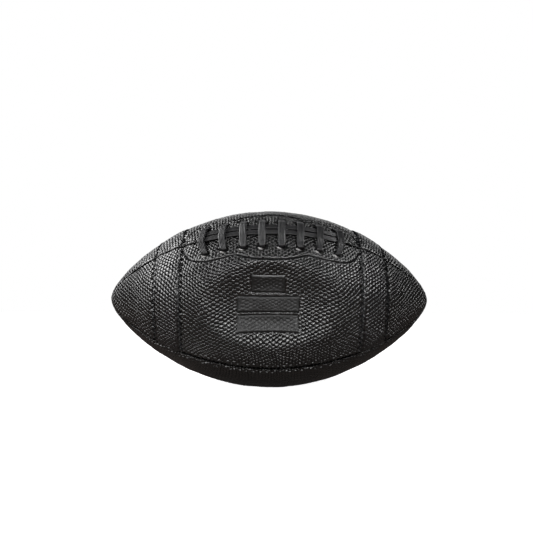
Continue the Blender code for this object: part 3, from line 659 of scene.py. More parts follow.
def leather_sheet(name, loops, lines, pebbles, place, height_at, thickness):
    """A closed sheet of pebbled leather, from its flat outline, openings and pressed lines."""
    marks = [(loop, True) for loop in loops] + [(line, False) for line in lines]
    edges = []
    count = 0
    for line, closed in marks:
        edges.append(line_edges(len(line), count, closed))
        count += len(line)
    rims = np.concatenate(loops)
    rim_edges = np.concatenate(edges[: len(loops)])
    net, level, borders = pebbles
    inside = inside_loops(net, loops)
    index = np.flatnonzero(inside)
    gap = np.zeros(len(net))
    gap[index] = distance_to_lines(net[index], marks, EDGE_CLEAR)
    kept = inside & (gap > LINE_CLEAR)
    number = np.full(len(net), -1)
    number[kept] = np.arange(kept.sum()) + count
    free = (gap >= EDGE_CLEAR * ALMOST)[borders].all(axis=1)
    edges.append(number[borders[free]])
    points = np.concatenate([line for line, _ in marks] + [net[kept]])
    flat, faces, origin = triangulated(points, np.concatenate(edges), loops)

    levels = np.concatenate((np.full(count, GROOVE_LEVEL), level[kept]))
    levels = np.where(origin >= 0, levels[np.maximum(origin, 0)], GROOVE_LEVEL)
    folded = np.concatenate((np.arange(count) >= len(rims), level[kept] == 0))
    folded = np.where(origin >= 0, folded[np.maximum(origin, 0)], False)
    height, smoothness, painted_shade, painted_lip_highlight = height_at(flat)
    raised = levels * (1 - smoothness) + SMOOTH_LEVEL * smoothness
    outside = place(flat, height + PEBBLE_HEIGHT * (raised - ZERO_LEVEL))

    low, high = rims.min(axis=0), rims.max(axis=0)
    places = [np.arange(low[axis], high[axis], INSIDE_STEP) for axis in (0, 1)]
    grid = np.stack(np.meshgrid(*places), -1).reshape(-1, 2)
    grid = grid[inside_loops(grid, loops)]
    clear = INSIDE_STEP / 3
    grid = grid[distance_to_lines(grid, marks[: len(loops)], clear) >= clear * ALMOST]
    back_points = np.concatenate((rims, grid))
    back_flat, back_faces, back_origin = triangulated(back_points, rim_edges, loops)
    back = place(back_flat, height_at(back_flat)[0] * BACK_RELIEF - thickness)

    front_start, front_end = made_from(origin, len(rims))[rim_edges].T
    back_start, back_end = made_from(back_origin, len(rims))[rim_edges].T + len(flat)
    triangles = np.concatenate(
        (
            faces,
            back_faces[:, ::-1] + len(flat),
            np.stack((front_start, back_start, back_end), -1),
            np.stack((front_start, back_end, front_end), -1),
        )
    )
    behind = np.zeros(len(back))
    values = {
        # the pebble's height, lowered where shade is painted
        "pebble": np.concatenate((raised * (1 - painted_shade), behind + GROOVE_LEVEL)),
        "smooth": np.concatenate((smoothness, behind)),
        "painted_lip_highlight": np.concatenate((painted_lip_highlight, behind)),
    }
    crease = np.concatenate((folded & (smoothness < CREASE_MOST), behind > 0))
    return new_piece(name, np.concatenate((outside, back)), triangles, values, crease)


def add_object(name, data):
    made = bpy.data.objects.new(name, data)
    bpy.context.scene.collection.objects.link(made)
    return made


def new_piece(name, points, triangles, values=None, crease=None):
    """A mesh object in the scene, with a value at each point for its material.

    The edges between points marked as crease stay sharp.
    """
    mesh = bpy.data.meshes.new(name)
    mesh.vertices.add(len(points))
    mesh.vertices.foreach_set("co", np.asarray(points, np.float32).ravel())
    mesh.loops.add(3 * len(triangles))
    mesh.loops.foreach_set("vertex_index", np.asarray(triangles, np.int32).ravel())
    mesh.polygons.add(len(triangles))
    mesh.polygons.foreach_set("loop_start", np.arange(0, 3 * len(triangles), 3, dtype=np.int32))
    mesh.update(calc_edges=True)
    mesh.validate()
    mesh.shade_smooth()
    for word, value in (values or {}).items():
        layer = mesh.attributes.new(word, "FLOAT", "POINT")
        layer.data.foreach_set("value", np.asarray(value, np.float32))
    if crease is not None:
        ends = np.empty(2 * len(mesh.edges), np.int32)
        mesh.edges.foreach_get("vertices", ends)
        sharp = crease[ends.reshape(-1, 2)].all(axis=1)
        mesh.attributes.new("sharp_edge", "BOOLEAN", "EDGE").data.foreach_set("value", sharp)
    return add_object(name, mesh)


# What is pressed into the panels


def smooth_between(points, at):
    """Height of a smooth curve through (place, height) points, by Catmull and Rom's rule."""
    places = [place for place, _ in points]
    index = int(np.clip(np.searchsorted(places, at) - 1, 0, len(points) - 2))
    near = [points[min(max(index + step, 0), len(points) - 1)] for step in (-1, 0, 1, 2)]
    width = near[2][0] - near[1][0]
    share = (at - near[1][0]) / width
    slopes = []
    for before, after in ((near[0], near[2]), (near[1], near[3])):
        slopes.append((after[1] - before[1]) / (after[0] - before[0]) * width)
    keep = 2 * share**3 - 3 * share**2 + 1
    turn = share**3 - 2 * share**2 + share
    turn_end = share**3 - share**2
    return keep * near[1][1] + turn * slopes[0] + (1 - keep) * near[2][1] + turn_end * slopes[1]


def beside_lacing(side, x, reach):
    """Flat places of points at these reaches from the laced seam."""
    phi = phi_of(x)
    turn = QUARTER - np.asarray(reach) / girth_radius(phi)
    flat = flatten(phi, turn)
    flat[:, 1] *= LACED_EDGE[side]
    return flat


def even_steps(line, step):
    """The line with its points spread evenly, about a step apart."""
    run = running_total(np.linalg.norm(np.diff(line, axis=0), axis=1))
    count = max(int(round(run[-1] / step)), 2)
    at = np.linspace(0, run[-1], count + 1)
    return np.stack([np.interp(at, run, line[:, axis]) for axis in range(line.shape[1])], -1)


def sewing_line(side):
    """The wavy sewing round the lacing, from the seam at one end to the seam at the other."""
    x = np.linspace(0, SEWING_HALF_LENGTH, SEWING_POINTS)
    reach = [HOLE_REACH + smooth_between(SEWING_OUTLINE, at / SEWING_HALF_LENGTH) for at in x]
    end_x, end_reach = np.array(SEWING_END).T
    x = np.concatenate((x, SEWING_HALF_LENGTH + end_x))
    reach = np.concatenate((reach, end_reach))
    x = np.concatenate((-x[:0:-1], x))
    reach = np.concatenate((reach[:0:-1], reach))
    return even_steps(beside_lacing(side, x, reach), SEWING_STEP)


def beside_line(line, offset):
    """The line moved sideways."""
    run = np.gradient(line, axis=0)
    run /= np.linalg.norm(run, axis=1)[:, None]
    return line + offset * np.stack((-run[:, 1], run[:, 0]), -1)


def hole_loop(side, x, scale):
    along, across = circle(HOLE_SIDES).T
    along = x + scale * HOLE_HALF_LENGTH * along
    return beside_lacing(side, along, HOLE_REACH + scale * HOLE_HALF_REACH * across)


def pressed_round(loop):
    """A loop as a line with a small opening."""
    return np.concatenate((loop, loop[:1] + OPENING))


def hole_places():
    return [LACE_PITCH * index - LAST_HOLE for index in range(LACE_CROSSES)]


def stripe_limits(end):
    """Where a stripe starts and stops along X."""
    return sorted((end * STRIPE_START, end * (STRIPE_START + STRIPE_SPAN)))


def band_lines():
    """The lines pressed along the edges of the bare bands and round them."""
    lines = []
    for left, right, low, high in BARE_BANDS:
        for grow in (0.0, BAND_BEVEL):
            ends = (left - grow, right + grow)
            box = [(x, low - grow) for x in ends] + [(x, high + grow) for x in ends[::-1]]
            box.append((ends[0], low - grow + OPENING))
            lines.append(even_steps(np.array(box), BAND_STEP))
    return lines


def panel_cuts(side):
    """A panel's openings, and the lines pressed into it."""
    openings, lines = [], []
    if side in LACED_EDGE:
        sewing = sewing_line(side)
        lines += [beside_line(sewing, step * SEWING_HALF_WIDTH) for step in (-1, 0, 1)]
        for x in hole_places():
            openings.append(hole_loop(side, x, 1.0))
            lines += [pressed_round(hole_loop(side, x, scale)) for scale in HOLE_RINGS]
    if side == "rear":
        openings.append(VALVE_HOLE * circle(HOLE_SIDES))
        lines.append(pressed_round(VALVE_HOLE * VALVE_RIM * circle(HOLE_SIDES)))
    if side == "front":
        lines += band_lines()
    return openings, lines


def at_least(values, least):
    """Raises the values, in place, where they are below these."""
    np.maximum(values, least, out=values)


def pucker_seams(side, flat, phi, past, height):
    """Sinks the leather beside a seam at each stitch, and raises the ridge at the lower seam."""
    radius = girth_radius(phi)
    pucker = 0.5 + 0.5 * np.cos(2 * math.pi * arc_at(phi) / PUCKER_PITCH)
    near = bell(np.minimum(past, 0), PUCKER_REACH)
    ridge = bell(past + RIDGE_PLACE, RIDGE_WIDTH)
    ridge *= grown(radius, *RIDGE_GROWS) * (RIDGE_EVENNESS + (1 - RIDGE_EVENNESS) * pucker)
    if side in LOWER_SEAM:
        height += RIDGE_HEIGHT * ridge * (flat[:, 1] * LOWER_SEAM[side] > 0)
    height -= PUCKER_DEPTH * pucker * near * grown(radius, *PUCKER_GROWS)


def press_sewing(side, flat, height, smoothness, painted_shade):
    """Sinks the leather under the stitches round the lacing, and paints shade into that groove."""
    gap = distance_to_lines(flat, [(sewing_line(side), False)], SEWING_FAR)
    pressed = bell(gap, SEWING_HALF_WIDTH)
    height -= SEWING_SINK * pressed
    at_least(smoothness, pressed)
    at_least(painted_shade, pressed)


def press_holes(side, x, past_holes, height, smoothness, painted_lip_highlight):
    """Sinks the leather round the lace holes, and draws up a lip at each of the lower ones, with a
    highlight painted pale on its side away from the seam.
    """
    for hole in hole_places():
        gap = np.hypot((x - hole) / HOLE_HALF_LENGTH, past_holes / HOLE_HALF_REACH)
        height -= HOLE_SINK * bell(gap - 1, HOLE_SINK_WIDTH) * (gap < HOLE_SINK_MOST)
        at_least(smoothness, bell(gap - 1, HOLE_SMOOTH_WIDTH))
        if side == "front":
            toward = (x - hole) * LIP_TOWARD[0] + past_holes * LIP_TOWARD[1]
            toward /= np.hypot(x - hole, past_holes) + 1e-9
            lip = bell(gap - LIP_PLACE, LIP_WIDTH)
            lip *= smoothstep((toward - LIP_FROM) / (1 - LIP_FROM) * LIP_STEEPNESS)
            height += (LIP_HEIGHT + HOLE_SINK) * lip
            # painted highlight on the lip
            at_least(painted_lip_highlight, lip)


def press_stripes(flat, x, unfolded, height, smoothness, painted_shade):
    """Smooths the leather under the stripes, and sinks it at their zigzag sewing, painting shade
    into the needle holes and the sewn strip.
    """
    for end in (-1, 1):
        low, high = stripe_limits(end)
        covered = smoothstep(np.minimum(x - low, high - x) / COVER_FADE + 0.5)
        at_least(smoothness, covered * unfolded)
        dips, strip = zigzag_marks(flat, x, low, high)
        height -= ZIGZAG_SINK * dips + ZIGZAG_PRESS * strip
        at_least(smoothness, STRIP_SMOOTHNESS * strip)
        at_least(painted_shade, np.maximum(dips, STRIP_PAINTED_SHADE * strip))


def press_bands(flat, height, smoothness):
    """Smooths and raises the bare bands, with a line pressed round each."""
    for left, right, low, high in BARE_BANDS:
        inside = np.minimum(
            np.minimum(flat[:, 0] - left, right - flat[:, 0]),
            np.minimum(flat[:, 1] - low, high - flat[:, 1]),
        )
        inside = inside / BAND_BEVEL
        pressed = smoothstep(inside + 1)
        height += BAND_RISE * (pressed - bell(inside + BAND_MOAT, 1))
        at_least(smoothness, BAND_SMOOTHNESS * pressed)


def panel_relief(side, flat):
    """Height, smoothness, painted shade and painted lip highlight of a panel's leather at flat
    places.
    """
    phi, _, past = unflatten(flat)
    arc = fold_shape(phi)[4]
    height = waves(flat, LUMPS)
    smoothness = grown(past / arc, *FOLD_SMOOTHS)
    painted_shade = grown(past / arc, *FOLD_PAINTED_SHADE)
    painted_lip_highlight = np.zeros(len(flat))
    pucker_seams(side, flat, phi, past, height)
    if side in LACED_EDGE:
        x = HALF_LENGTH * np.sin(phi)
        radius = girth_radius(phi)
        turn = flat[:, 1] / radius * LACED_EDGE[side]
        past_holes = radius * (QUARTER - turn) - HOLE_REACH
        press_sewing(side, flat, height, smoothness, painted_shade)
        press_holes(side, x, past_holes, height, smoothness, painted_lip_highlight)
        press_stripes(flat, x, past < COVER_MOST * arc, height, smoothness, painted_shade)
    if side == "front":
        press_bands(flat, height, smoothness)
    return height, smoothness, painted_shade, painted_lip_highlight


def make_panel(side, seed):
    outline = panel_outline(side)
    openings, lines = panel_cuts(side)
    margin = 2 * PEBBLE_PITCH
    net = pebble_net(outline.min(axis=0) - margin, outline.max(axis=0) + margin, seed)
    place, relief = partial(leather_points, side), partial(panel_relief, side)
    loops = [outline, *openings]
    piece = leather_sheet("leather_" + side, loops, lines, net, place, relief, LEATHER)
    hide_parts("panel_" + side)
    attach(piece, "root")
    return piece


def zigzag_marks(flat, x, low, high):
    """From 0 to 1: nearness to a needle's hole of the zigzag, and to the strip that it sews."""
    edge = np.where(np.abs(x - low) < np.abs(x - high), low, high)
    away = np.abs(x - edge)
    row = np.where(x > edge, 0, 1) + flat[:, 1] / ZIGZAG_STEP
    along = (away - ZIGZAG_HALF_WIDTH) / ZIGZAG_HOLE
    across = (row - 2 * np.round(row / 2)) * ZIGZAG_STEP / ZIGZAG_HOLE
    strip = 1 - grown(away, ZIGZAG_HALF_WIDTH, ZIGZAG_FADE)
    return np.exp(-(along**2 + across**2)), strip


def stripe_outline(low, high):
    phi = phi_of(np.linspace(low, high, STRIPE_ENDS))
    start, _, _, _, arc, _ = fold_shape(phi)
    turn = QUARTER - start
    turned_in = np.stack((np.zeros(STRIPE_ENDS), STRIPE_TURNED_IN * arc), -1)
    upper = flatten(phi, turn) + turned_in
    lower = flatten(phi, -turn) - turned_in
    edges = []
    for index, side in ((0, 1), (-1, -1)):
        across = np.linspace(side * turn[index], -side * turn[index], STRIPE_SIDES + 2)[1:-1]
        edges.append(flatten(np.full(STRIPE_SIDES, phi[index]), across))
    return np.concatenate((lower, edges[1], upper[::-1], edges[0]))


def make_stripe(side, end, seed):
    low, high = stripe_limits(end)
    outline = stripe_outline(low, high)

    def height_at(flat):
        x = HALF_LENGTH * np.sin(unflatten(flat)[0])
        pressed = 1 - smoothstep(np.minimum(x - low, high - x) / STRIPE_PRESS_REACH)
        gap = distance_to_lines(flat, [(outline, True)], STRIPE_EDGE_FAR)
        edge = 1 - smoothstep(gap / STRIPE_EDGE_REACH)
        dips, strip = zigzag_marks(flat, x, low, high)
        height = STRIPE_TOP - STRIPE_PRESS * pressed - STRIPE_EDGE_SINK * edge
        height = height - ZIGZAG_PRESS * strip
        height += waves(flat, LUMPS) - STRIPE_DIPS * ZIGZAG_SINK * dips
        smoothness = np.maximum(STRIP_SMOOTHNESS * strip, STRIPE_EDGE_SMOOTHNESS * edge)
        # shade painted into the needle holes and the sewn strip
        return height, smoothness, np.maximum(dips, STRIP_PAINTED_SHADE * strip), np.zeros(len(flat))

    def place(flat, height):
        lowest = waves(flat, LUMPS) + STRIPE_LEAST
        return leather_points(side, flat, np.maximum(height, lowest))

    margin = STRIPE_MARGIN
    net = pebble_net(outline.min(axis=0) - margin, outline.max(axis=0) + margin, seed)
    word = "right" if end > 0 else "left"
    name = f"stripe_{side}_{word}"
    piece = leather_sheet("band_" + name, [outline], [], net, place, height_at, STRIPE_THICKNESS)
    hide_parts(name)
    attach(piece, "root")
    return piece


# Lace


def lacing_points(x, reach, height):
    """Points near the laced seam: reach is measured from the seam, positive to the front."""
    phi = phi_of(x)
    return ball_points(phi, LACED_SEAM - reach / girth_radius(phi), height)


def lacing_frames(x, reach):
    """Unit vectors at points near the laced seam: along the ball, and to the front."""
    phi = phi_of(x)
    angle = LACED_SEAM - reach / girth_radius(phi)
    normal = outward(phi, angle)
    to_front = np.stack((np.zeros_like(angle), -np.sin(angle), -np.cos(angle)), -1)
    return np.cross(to_front, normal), to_front


def lace_corners():
    """Corners of the lace's one route, as rows of x, reach, height and turn of its width."""
    low, lie, over, end, side = -UNDER_RUN, STRAND_HEIGHT, CROSS_HEIGHT, LACE_END, STRAND_OFFSET
    near, far = STRAND_SHIFT + side, STRAND_SHIFT - side
    corners = [
        (-end - LACE_TAIL, side, low, 0),
        (-end, side, low, 0),
        (-end, near, lie, 0),
        (end, near, lie, 0),
        (end, side, low, 1),
        (end, -side, low, 1),
        (end, far, lie, 0),
        (-end, far, lie, 0),
        (-end, -side, low, 1),
    ]
    clear = (1 - STRAND_SQUEEZE) * LACE_WIDTH / 2 + CROSS_GAP
    near, far = near + clear, far - clear
    near_foot = (near + HOLE_REACH + LACE_THICKNESS) / 2
    far_foot = (far - HOLE_REACH - LACE_THICKNESS) / 2
    for x, (upper, lower) in zip(hole_places(), CROSS_LEANS):
        corners += [
            (x, -HOLE_REACH, low, 1),
            (x, -HOLE_REACH, lie, 1),
            (x + upper * FOOT_LEAN, far_foot, lie, 1),
            (x + upper, far, over, 1),
            (x + lower, near, over, 1),
            (x + lower * FOOT_LEAN, near_foot, lie, 1),
            (x, HOLE_REACH, lie, 1),
            (x, HOLE_REACH, low, 1),
        ]
    corners.append((LAST_HOLE, HOLE_REACH - LACE_TAIL, low, 1))
    return np.array(corners, float)


def add_straight(stations, goal):
    """Adds stations up to the goal, close together where the lace twists."""
    last = stations[-1]
    step = LACE_TWIST_STEP if last[3] != goal[3] else LACE_STEP
    count = max(math.ceil(np.linalg.norm((goal - last)[:3]) / step), 1)
    for index in range(1, count + 1):
        stations.append(last + (goal - last) * index / count)


def lace_route():
    """Stations along the lace, with each corner turned on a short curve."""
    corners = lace_corners()
    stations = [corners[0]]
    for before, corner, after in zip(corners, corners[1:], corners[2:]):
        reach_in = np.linalg.norm((corner - before)[:3])
        reach_out = np.linalg.norm((after - corner)[:3])
        enter = corner + (before - corner) * min(LACE_BEND / reach_in, BEND_SHARE)
        leave = corner + (after - corner) * min(LACE_BEND / reach_out, BEND_SHARE)
        add_straight(stations, enter)
        for step in range(1, LACE_BEND_STEPS + 1):
            share = step / LACE_BEND_STEPS
            first = enter + (corner - enter) * share
            second = corner + (leave - corner) * share
            stations.append(first + (second - first) * share)
    add_straight(stations, corners[-1])
    return np.array(stations)


def lace_outline():
    """The lace's section: two ribbed faces and two round edges, as (across, up) rows."""
    half_width, half_thickness = LACE_WIDTH / 2, LACE_THICKNESS / 2
    flat = half_width - LACE_EDGE_FROM * half_thickness
    share = np.linspace(0, 1, LACE_RIBS * RIB_POINTS + 1)
    ribs = 1 - RIB_DEPTH * (0.5 + 0.5 * np.cos(2 * math.pi * LACE_RIBS * share))
    face = np.stack((flat * (1 - 2 * share), half_thickness * ribs), -1)
    inset, height = np.array(LACE_EDGE).T * half_thickness
    edge = np.stack((inset - half_width, height), -1)
    return np.concatenate((face, edge, -face, -edge))


def swept(centres, widths, outline, shares=None):
    """(points, triangles) of a bar with this outline along the centres.

    Its width lies as given, and shares, if any, is the part of it kept at each centre.
    """
    run = np.gradient(centres, axis=0)
    run /= np.linalg.norm(run, axis=1)[:, None]
    widths = widths - run * (widths * run).sum(axis=1)[:, None]
    widths /= np.linalg.norm(widths, axis=1)[:, None]
    ups = np.cross(run, widths)
    if shares is not None:
        widths = widths * shares[:, None]
    points = (
        centres[:, None]
        + widths[:, None] * outline[None, :, :1]
        + ups[:, None] * outline[None, :, 1:]
    )
    count, sides = points.shape[:2]
    ring = np.arange(sides)
    after = (ring + 1) % sides
    start = np.arange(count - 1)[:, None] * sides
    first = np.stack((start + ring, start + after, start + sides + after), -1)
    second = np.stack((start + ring, start + sides + after, start + sides + ring), -1)
    triangles = [first.reshape(-1, 3), second.reshape(-1, 3)]
    fan = np.stack((np.zeros(sides - 2, int), ring[2:], ring[1:-1]), -1)
    triangles += [fan, fan[:, ::-1] + (count - 1) * sides]
    return points.reshape(-1, 3), np.concatenate(triangles)


def make_lace():
    stations = lace_route()
    x, reach, height, turn = stations.T
    centres = lacing_points(x, reach, height)
    along, to_front = lacing_frames(x, reach)
    swing = (turn * math.pi / 2)[:, None]
    widths = to_front * np.cos(swing) + along * np.sin(swing)
    above = smoothstep((np.abs(reach) - HOLE_REACH + SQUEEZE_FROM) / SQUEEZE_FROM)
    shares = 1 - LACE_SQUEEZE * above - STRAND_SQUEEZE * (1 - turn)
    points, triangles = swept(centres, widths, lace_outline(), shares)
    piece = new_piece("ribbed_lace", points, triangles)
    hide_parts("lace")
    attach(piece, "root")
    return piece


# Threads


def stitches(side, starts, ends, heights):
    """(points, triangles) of short threads on a panel, sunk at both ends.

    heights holds each thread's height at its start and at its end.
    """
    outline = THREAD_RADIUS * circle(THREAD_SIDES)
    share, lift = THREAD_STATIONS.T
    all_points, all_triangles, count = [], [], 0
    for start, end, (low, high) in zip(starts, ends, heights):
        flat = start + (end - start) * share[:, None]
        height = low + (high - low) * share + THREAD_DIVE * (lift - THREAD_CREST)
        centres = leather_points(side, flat, height)
        sideways = np.array((-(end - start)[1], (end - start)[0]))
        beside = leather_points(side, flat + sideways * THREAD_ASIDE, height)
        points, triangles = swept(centres, beside - centres, outline)
        all_points.append(points)
        all_triangles.append(triangles + count)
        count += len(points)
    return np.concatenate(all_points), np.concatenate(all_triangles)


def make_sewing(side):
    """The stitches round the lacing, in their pressed line."""
    line = even_steps(sewing_line(side), SEWING_FINE_STEP)
    run = running_total(np.linalg.norm(np.diff(line, axis=0), axis=1))
    pitch = SEWING_STITCH + SEWING_GAP
    at = np.arange(SEWING_FIRST, run[-1] - pitch, pitch)
    starts, ends = (
        np.stack([np.interp(at + on, run, line[:, axis]) for axis in (0, 1)], -1)
        for on in (0, SEWING_STITCH)
    )
    heights = np.full((len(starts), 2), SEWN_HEIGHT * THREAD_RADIUS - SEWING_SINK)
    points, triangles = stitches(side, starts, ends, heights)
    piece = new_piece("sewing_" + side, points, triangles)
    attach(piece, "root")
    return piece


def make_zigzag(side, end):
    """Zigzag stitches along both edges of a stripe."""
    starts, ends, heights = [], [], []
    low, high = stripe_limits(end)
    on_panel = THREAD_RADIUS - ZIGZAG_PRESS
    on_stripe = on_panel + STRIPE_TOP - STRIPE_PRESS
    for x in (low, high):
        phi = float(phi_of(x))
        radius = float(girth_radius(phi))
        reach = radius * float(QUARTER - fold_shape(phi)[0]) - ZIGZAG_INSET
        count = int(2 * reach / ZIGZAG_STEP)
        across = np.linspace(-reach, reach, count + 1)
        along = x + ZIGZAG_HALF_WIDTH * (np.arange(count + 1) % 2 * 2 - 1)
        line = flatten(phi_of(along), across / girth_radius(phi_of(along)))
        starts.append(line[:-1])
        ends.append(line[1:])
        height = np.where((along > low) & (along < high), on_stripe, on_panel)
        heights.append(np.stack((height[:-1], height[1:]), -1))
    rows = (np.concatenate(part) for part in (starts, ends, heights))
    points, triangles = stitches(side, *rows)
    piece = new_piece(f"zigzag_{side}_{'right' if end > 0 else 'left'}", points, triangles)
    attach(piece, "root")
    return piece


# Materials


def fill(tree, node, inputs):
    """Sets a node's inputs to values, or links them to other nodes' outputs."""
    for word, value in inputs.items():
        if isinstance(value, bpy.types.NodeSocket):
            tree.links.new(value, node.inputs[word])
        else:
            node.inputs[word].default_value = value
    return node


def add_node(tree, kind, inputs, **settings):
    node = tree.nodes.new("ShaderNode" + kind)
    for word, value in settings.items():
        setattr(node, word, value)
    return fill(tree, node, inputs)


def value_of(tree, word):
    """The value that new_piece gave to each point under this name."""
    return add_node(tree, "Attribute", {}, attribute_name=word).outputs["Fac"]


def noise(tree, scale, detail):
    place = add_node(tree, "TexCoord", {}).outputs["Object"]
    inputs = {"Vector": place, "Scale": scale, "Detail": detail}
    return add_node(tree, "TexNoise", inputs).outputs["Fac"]


def mapped(tree, value, low, high, start=0.0, end=1.0):
    """The value, carried from start and end to low and high."""
    inputs = {"Value": value, "From Min": start, "From Max": end, "To Min": low, "To Max": high}
    return add_node(tree, "MapRange", inputs).outputs["Result"]


def ramp(tree, value, *stops):
    """A colour that runs between two stops of (value, colour)."""
    node = add_node(tree, "ValToRGB", {"Fac": value})
    for element, (place, colour) in zip(node.color_ramp.elements, stops):
        element.position = place
        element.color = (*colour, 1)
    return node.outputs["Color"]


def mixed(tree, factor, first, second, blend="MIX"):
    inputs = {"Factor": factor, "A": first, "B": second}
    return add_node(tree, "Mix", inputs, data_type="RGBA", blend_type=blend).outputs["Result"]


def maths(tree, operation, *values):
    return add_node(tree, "Math", dict(enumerate(values)), operation=operation).outputs["Value"]


def bumped(tree, height, strength, distance):
    inputs = {"Height": height, "Strength": strength, "Distance": distance}
    return add_node(tree, "Bump", inputs).outputs["Normal"]


def new_material(name):
    material = bpy.data.materials.new(name)
    material.use_nodes = True
    return material, material.node_tree, material.node_tree.nodes["Principled BSDF"]


def leather_material(name, top, groove):
    """Pebbled leather: shade is painted dark into the grooves, folds, sewing and needle holes,
    which are also duller; pressed places are matt.
    """
    material, tree, shader = new_material(name)
    pebble, smooth, painted_lip_highlight = (value_of(tree, word) for word in ("pebble", "smooth", "painted_lip_highlight"))
    grain = noise(tree, *GRAIN)
    # painted shade: the colour darkens toward the grooves and wherever the pebble value was
    # lowered
    shade = ramp(tree, pebble, (GROOVE_MOST, groove), (COLOUR_FULL, top))
    patches = mapped(tree, noise(tree, *PATCHES), *PATCH_TONES)
    shade = mixed(tree, 1.0, shade, patches, "MULTIPLY")
    rough = mapped(tree, grain, *PEBBLE_ROUGHNESS)
    rough = maths(tree, "MULTIPLY_ADD", smooth, PRESSED_ROUGHER, rough)
    rougher = mapped(tree, pebble, GROOVE_ROUGHER, 0.0, GROOVE_MOST, ROUGHNESS_FULL)
    gloss = mapped(tree, pebble, GROOVE_GLOSS, PEBBLE_GLOSS, GROOVE_MOST, GLOSS_FULL)
    kept_gloss = mapped(tree, smooth, 1.0, PRESSED_GLOSS)
    inputs = {
        # the lips' pale colour is a painted highlight
        "Base Color": mixed(tree, painted_lip_highlight, shade, (*LIP_HIGHLIGHT_PAINT, 1)),
        "Roughness": maths(tree, "ADD", rough, rougher),
        "Specular IOR Level": maths(tree, "MULTIPLY", gloss, kept_gloss),
        "Normal": bumped(tree, grain, *GRAIN_BUMP),
    }
    fill(tree, shader, inputs)
    return material


def plain_material(name, colour, roughness, scale, depth, specular):
    """A material with a fine grain, uneven in tone and gloss."""
    material, tree, shader = new_material(name)
    grain = noise(tree, scale, PLAIN_DETAIL)
    tones = [(place, [share * part for part in colour]) for place, share in PLAIN_TONES]
    low, high = roughness - PLAIN_ROUGHNESS, roughness + PLAIN_ROUGHNESS
    inputs = {
        "Base Color": ramp(tree, grain, *tones),
        "Roughness": mapped(tree, grain, low, high),
        "Specular IOR Level": specular,
        "Normal": bumped(tree, grain, PLAIN_BUMP, depth),
    }
    fill(tree, shader, inputs)
    return material


def dress_node(name, material):
    """Gives a CAD node a better material."""
    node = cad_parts[name]
    for slot in node.material_slots:
        slot.material = material
    if not node.material_slots:
        node.data.materials.append(material)


# Stage


def direction(azimuth, elevation):
    """Unit vector from the ball, at degrees from the front and over the level."""
    azimuth, elevation = math.radians(azimuth), math.radians(elevation)
    across = math.cos(elevation)
    return Vector((math.sin(azimuth) * across, -math.cos(azimuth) * across, math.sin(elevation)))


def add_light(name, azimuth, elevation, distance, size, power):
    data = bpy.data.lights.new(name, "AREA")
    data.shape = "RECTANGLE"
    data.size, data.size_y = size
    data.energy = power
    light = add_object(name, data)
    toward = direction(azimuth, elevation)
    light.location = Vector((0, 0, AXIS_HEIGHT)) + toward * distance
    light.rotation_euler = (-toward).to_track_quat("-Z", "Y").to_euler()


def add_camera():
    data = bpy.data.cameras.new("photo_view")
    data.sensor_width = 36.0
    data.lens = CAMERA_FOCAL / IMAGE_SIZE * data.sensor_width
    data.clip_start = 0.01
    data.clip_end = 60.0
    data.shift_x = (IMAGE_SIZE / 2 - BALL_AT[0]) / IMAGE_SIZE
    data.shift_y = (BALL_AT[1] - IMAGE_SIZE / 2) / IMAGE_SIZE
    camera = add_object("photo_view", data)
    toward = direction(CAMERA_AZIMUTH, CAMERA_ELEVATION)
    camera.location = Vector((0, 0, AXIS_HEIGHT)) + toward * CAMERA_DISTANCE
    turn = (-toward).to_track_quat("-Z", "Y").to_matrix()
    turn = turn @ Matrix.Rotation(math.radians(CAMERA_ROLL), 3, "Z")
    camera.rotation_euler = turn.to_euler()
    bpy.context.scene.camera = camera


def background_level(tree, to_light, to_gloss):
    """White where a ray looks at the background, dimmer where the background gives light."""
    path = add_node(tree, "LightPath", {}).outputs
    level = maths(tree, "MULTIPLY_ADD", path["Is Camera Ray"], 1 - to_light, to_light)
    level = maths(tree, "MULTIPLY_ADD", path["Is Transmission Ray"], 1 - to_light, level)
    return maths(tree, "MULTIPLY_ADD", path["Is Glossy Ray"], to_gloss - to_light, level)


def stage_sheet(name, corners, material_name):
    """A flat part of the stage, with its material's node tree and matt shader."""
    mesh = bpy.data.meshes.new(name)
    mesh.from_pydata(corners, [], [range(4)])
    material, tree, shader = new_material(material_name)
    mesh.materials.append(material)
    fill(tree, shader, {"Specular IOR Level": 0.0, "Emission Color": (1, 1, 1, 1)})
    return add_object(name, mesh), tree, shader


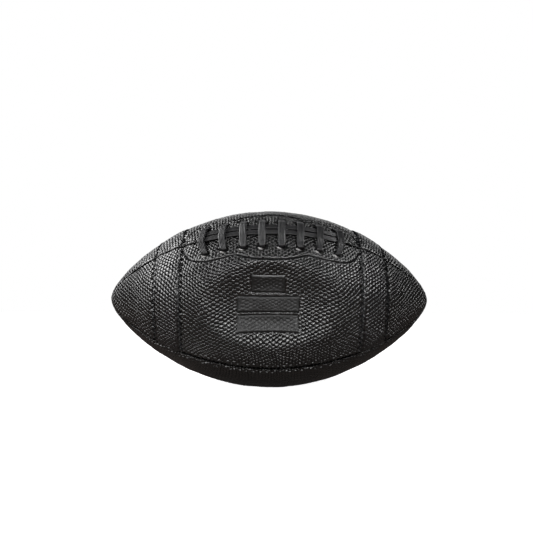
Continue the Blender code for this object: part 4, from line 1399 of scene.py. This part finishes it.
def make_backdrop():
    """A white wall behind the ball that gives no light of its own to matt surfaces."""
    side, far, top = BACKDROP
    corners = [(-side, far, 0), (side, far, 0), (side, far, top), (-side, far, top)]
    backdrop, tree, shader = stage_sheet("backdrop", corners, "white_backdrop")
    level = background_level(tree, 0.0, 1.0)
    inputs = {"Base Color": (0, 0, 0, 1), "Roughness": 1.0, "Emission Strength": level}
    fill(tree, shader, inputs)


def make_floor():
    """A white floor that is dim where the leather mirrors it."""
    corners = [(-1, -1), (1, -1), (1, 1), (-1, 1)]
    corners = [(FLOOR_REACH * x, FLOOR_REACH * y, 0) for x, y in corners]
    floor, tree, shader = stage_sheet("floor", corners, "pale_floor")
    seen = add_node(tree, "LightPath", {}).outputs["Is Camera Ray"]
    colour = mixed(tree, seen, (*FLOOR_SEEN_BY_LEATHER, 1), (*FLOOR_COLOUR, 1))
    level = background_level(tree, FLOOR_BOUNCE, FLOOR_BOUNCE)
    inputs = {"Base Color": colour, "Roughness": FLOOR_ROUGHNESS, "Emission Strength": level}
    fill(tree, shader, inputs)


def make_stage():
    world = bpy.data.worlds.new("studio")
    bpy.context.scene.world = world
    world.use_nodes = True
    tree = world.node_tree
    level = background_level(tree, WORLD_LIGHT, WORLD_LIGHT)
    fill(tree, tree.nodes["Background"], {"Color": (1, 1, 1, 1), "Strength": level})
    make_floor()
    make_backdrop()
    for light in LIGHTS:
        add_light(*light)


# Build

leather = leather_material("black_leather", *BLACK)
band_leather = leather_material("band_leather", *BLUE_BLACK)
plain = {name: plain_material(name, *looks) for name, looks in PLAIN_MATERIALS.items()}
for number, side in enumerate(PANELS):
    make_panel(side, number + 1).data.materials.append(leather)
for number, side in enumerate(LACED_EDGE):
    make_sewing(side).data.materials.append(plain["black_thread"])
    for end in (-1, 1):
        seed = STRIPE_SEED + 2 * number + end
        make_stripe(side, end, seed).data.materials.append(band_leather)
        make_zigzag(side, end).data.materials.append(plain["black_thread"])
make_lace().data.materials.append(plain["lace_vinyl"])
for node, name in DRESSED.items():
    dress_node(node, plain[name])

make_stage()
add_camera()
bpy.context.scene.view_settings.view_transform = "Standard"
